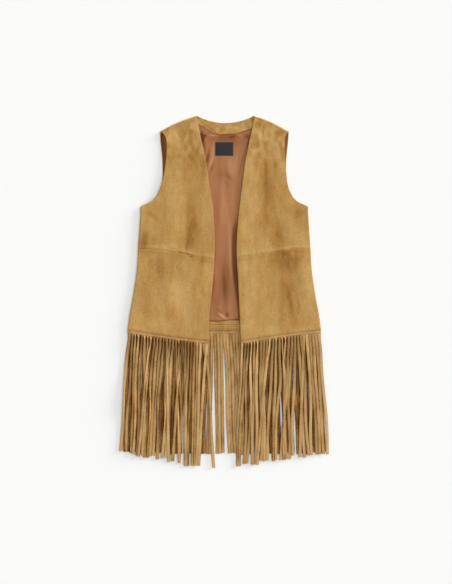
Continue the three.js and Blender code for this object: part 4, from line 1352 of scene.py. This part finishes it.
# %% Slit a strip into strands
SPAN = 4                   # columns to a strand
STRIP_ROWS = 3
STRAND_ROWS = 26
ROW_SPREAD = 1.35          # rows of faces are closer together near the root


def slit_strip(count):
    """A grid with split edges between strands below the uncut rows, and each vertex's own strand."""
    shape = bmesh.new()
    shape.verts.layers.float.new("tone")
    rows = STRIP_ROWS + STRAND_ROWS
    bmesh.ops.create_grid(shape, x_segments=count * SPAN, y_segments=rows, size=0.5)
    slits = []
    for edge in shape.edges:
        a, b = edge.verts
        column = (a.co.x + 0.5) * count
        if abs(a.co.x - b.co.x) > 1e-6 or abs(column - round(column)) > 1e-3:
            continue
        upper = 0.5 - max(a.co.y, b.co.y)
        if upper * rows > STRIP_ROWS - 0.5 and not edge.is_boundary:
            slits.append(edge)
    bmesh.ops.split_edges(shape, edges=slits)
    shape.verts.index_update()
    owner = [0] * len(shape.verts)
    for face in shape.faces:
        strand = int((face.calc_center_median().x + 0.5) * count)
        for vert in face.verts:
            owner[vert.index] = strand
    return shape, owner


print("a strand has", SPAN * STRAND_ROWS, "faces")

# %% Lay a fringe


def fringe_strands(side, start, stop, hem, layers, salt):
    """Each strand of a fringe: its root under the hem, its end, its layer and its twist."""
    ends = strand_ends(CLUMPS[side])
    for first, last in CROSSINGS[side]:
        ends.insert(first, ends.pop(last))
    pitch = (stop - start) / len(ends)
    strands = []
    for i, end in enumerate(ends):
        x = start + (i + 0.5) * pitch
        y, z = hem(x)
        chance = [scatter(i, salt + k) for k in range(10)]
        most = math.radians(root_twist(side, x))
        loose = clamp(most / LOOSE_TWIST)
        twist = most * mix(*RANGES.twist, chance[3]) * (-1 if chance[2] < TWIST_BACK else 1)
        again = most * smooth((chance[6] - TWIST_ONCE) * 4) * (1 if chance[7] < 0.5 else -1)
        tone = mix(FLAT_TONE[side], LOOSE_PAINTED_SHADE_TONE, loose)
        tone += mix(*RANGES.shades, loose) * (chance[5] - 0.5)
        if side == "back" and abs(x) > OPEN_HALF:
            tone -= UNDER_FRONTS
        strands.append(SimpleNamespace(
            root=Vector((x, y - STRIP_DEPTH, z - STRAND_THICKNESS)), layer=layers[i % 2],
            end=SimpleNamespace(x=end.x + LOOSE_ENDS * loose * (chance[9] - 0.5),
                                y=end.y - UNEVEN * chance[1]),
            steady=LONE_STEADY if (side, i) == LONE_STRAND else STEADY,
            comes_down=layers is LAYERS["front"] and end.y < BACK_FRINGE_END - 0.008,
            detours=[way for way in DETOURS[side] if way["strand"] == i],
            chance=chance[0], twist=twist, untwist=mix(*RANGES.untwist, chance[4]),
            second=SECOND_TWIST * again, second_at=mix(*RANGES.second_at, chance[8]), loose=loose,
            tone=tone, width=STRAND_WIDTH[side], sway=SWAY[side],
            low=BACK_STRANDS_TOP if layers is LAYERS["front"] else LOWEST_STRAND))
    return strands, pitch


def strand_point(strand, pitch, across, t):
    """One point of a strand's upper face, with its tone. across runs from -1 to 1."""
    middle = strand_middle(strand, t)
    ahead = strand_middle(strand, t + 0.01) - strand_middle(strand, t - 0.01)
    sideways = Vector((-ahead.y, ahead.x, 0)).normalized()
    twist = strand_twist(strand, t)
    outwards = sideways * math.cos(twist) + Vector((0, 0, math.sin(twist)))
    normal = Vector((0, 0, math.cos(twist))) - sideways * math.sin(twist)
    half = mix(pitch / 2, strand.width / 2, smooth(t / WIDE_FROM))
    lifted = max(middle.z, strand.low + half * abs(math.sin(twist))) if t > 0 else middle.z
    point = Vector((middle.x, middle.y, lifted)) + outwards * (half * across)
    point += normal * (STRAND_THICKNESS - CURL * across**2 * smooth(t / CURLED_FROM))
    risen = outwards.z * across
    shaded = strand.tone + RAISED_PAINTED_LIGHT * risen - SUNK_PAINTED_SHADE * max(0.0, -risen)
    shaded -= EDGE_PAINTED_SHADE * across**8 * smooth(t / EDGE_SHADE_FROM) + LIT_SIDE_PAINTED_SHADE * max(0.0, -math.sin(twist))
    mottled = STRAND_MOTTLE * noise.noise(Vector((middle.x / 0.010, middle.y / 0.040, 2.0)))
    return point, shaded + mottled


def lay_fringe(name, side, start, stop, hem, layers, salt):
    """A slit strip, hung from a hem line that hem(x) gives as a height along Y and a face height."""
    strands, pitch = fringe_strands(side, start, stop, hem, layers, salt)
    count = len(strands)
    shape, owner = slit_strip(count)
    tone = shape.verts.layers.float["tone"]
    rows = STRIP_ROWS + STRAND_ROWS
    for vert in shape.verts:
        u, row = vert.co.x + 0.5, round((0.5 - vert.co.y) * rows)
        if row <= STRIP_ROWS:
            x = mix(start, stop, u)
            y, z = hem(x)
            down = row / STRIP_ROWS
            dip = 0.0005 * (1 - clamp(down / 0.3)) ** 2
            vert.co = (x, y - STRIP_DEPTH * down, z - dip)
            # Painted shade along the strip's top, under the hem, and along its foot, where the strands
            # part
            vert[tone] = 0.05 + soft_lines((down, 0.18, -0.5), (1 - down, 0.2, -0.3))
            continue
        strand = strands[owner[vert.index]]
        across = 2 * (u * count - owner[vert.index]) - 1
        t = ((row - STRIP_ROWS) / STRAND_ROWS) ** ROW_SPREAD
        vert.co, vert[tone] = strand_point(strand, pitch, across, t)
    for edge in shape.edges:
        edge.smooth = not edge.is_boundary  # a cut edge is crisp, so a strand isn't a round cord
    shape.normal_update()
    piece = add_piece(name, shape, FRINGE_SUEDE)
    give_wall(piece, STRAND_THICKNESS)
    print(f"{name}: {count} strands, {pitch * 1000:.1f} mm apart at the root")
    return piece


fringes = {}
for side, front in FRONTS.items():
    inner = on_curve(OPENING, side, front.hem)
    outer = on_curve(EDGES, side, SIDE_HEM)

    def front_hem(x, side=side, front=front, inner=inner, outer=outer):
        reach = (front.sign * x - inner) / (outer - inner)
        y = mix(front.hem, SIDE_HEM, reach) + front.hem_bow * math.sin(math.pi * reach) - SEWN
        tucked = 0.002 * smooth((front.sign * x - outer + 0.012) / 0.012)
        return y, front_height(side, x, y) + rumple(x, y) - tucked

    limits = sorted((front.sign * (inner + 0.0004), front.sign * (outer - 0.001)))
    fringes[side] = lay_fringe(f"{side}_front_fringe_suede", side, *limits, front_hem,
                               LAYERS["front"], salt=front.sign + 5)

back_reach = on_curve(EDGES, "back", SIDE_HEM) - 0.001
fringes["back"] = lay_fringe(
    "back_fringe_suede", "back", -back_reach, back_reach,
    lambda x: (back_hem(x) - SEWN, FLOOR_CLEARANCE + SUEDE), LAYERS["back"], salt=11)

# %% [markdown]
# What each piece stands for
#
# Each sheet now takes the place of its pattern piece in the frame, whose own part is hidden, and
# moves with its one body.

# %% Place the pieces in the frame
for (side, part), piece in fronts.items():
    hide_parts(f"{side}_front_{part}")
for side, piece in fringes.items():
    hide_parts("back_fringe" if side == "back" else f"{side}_front_fringe")
for piece, node, slot in (
    (back_upper, "back_upper", "suede"), (back_lower, "back_lower", "suede"),
    (neck_facing, "neck_facing", "suede"), (hem_band, "hem_band", "suede"),
    (lining, "lining", "satin_lining"), (label, "label", "woven_label"),
):
    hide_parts(node)

garment = [*fronts.values(), *fringes.values(), back_upper, back_lower, neck_facing, hem_band, lining,
           label, hem_stitches, label_stitches]
for piece in garment:
    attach(piece, "root")
print("pieces on the body:", len(garment))

for side in FRONTS:
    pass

# %% Print the two boxes and finish
shown_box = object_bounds()
for name, box in (("frame", cad_box), ("shown", shown_box)):
    print(name, "box in mm:", [[round(value * 1000, 1) for value in corner] for corner in box])
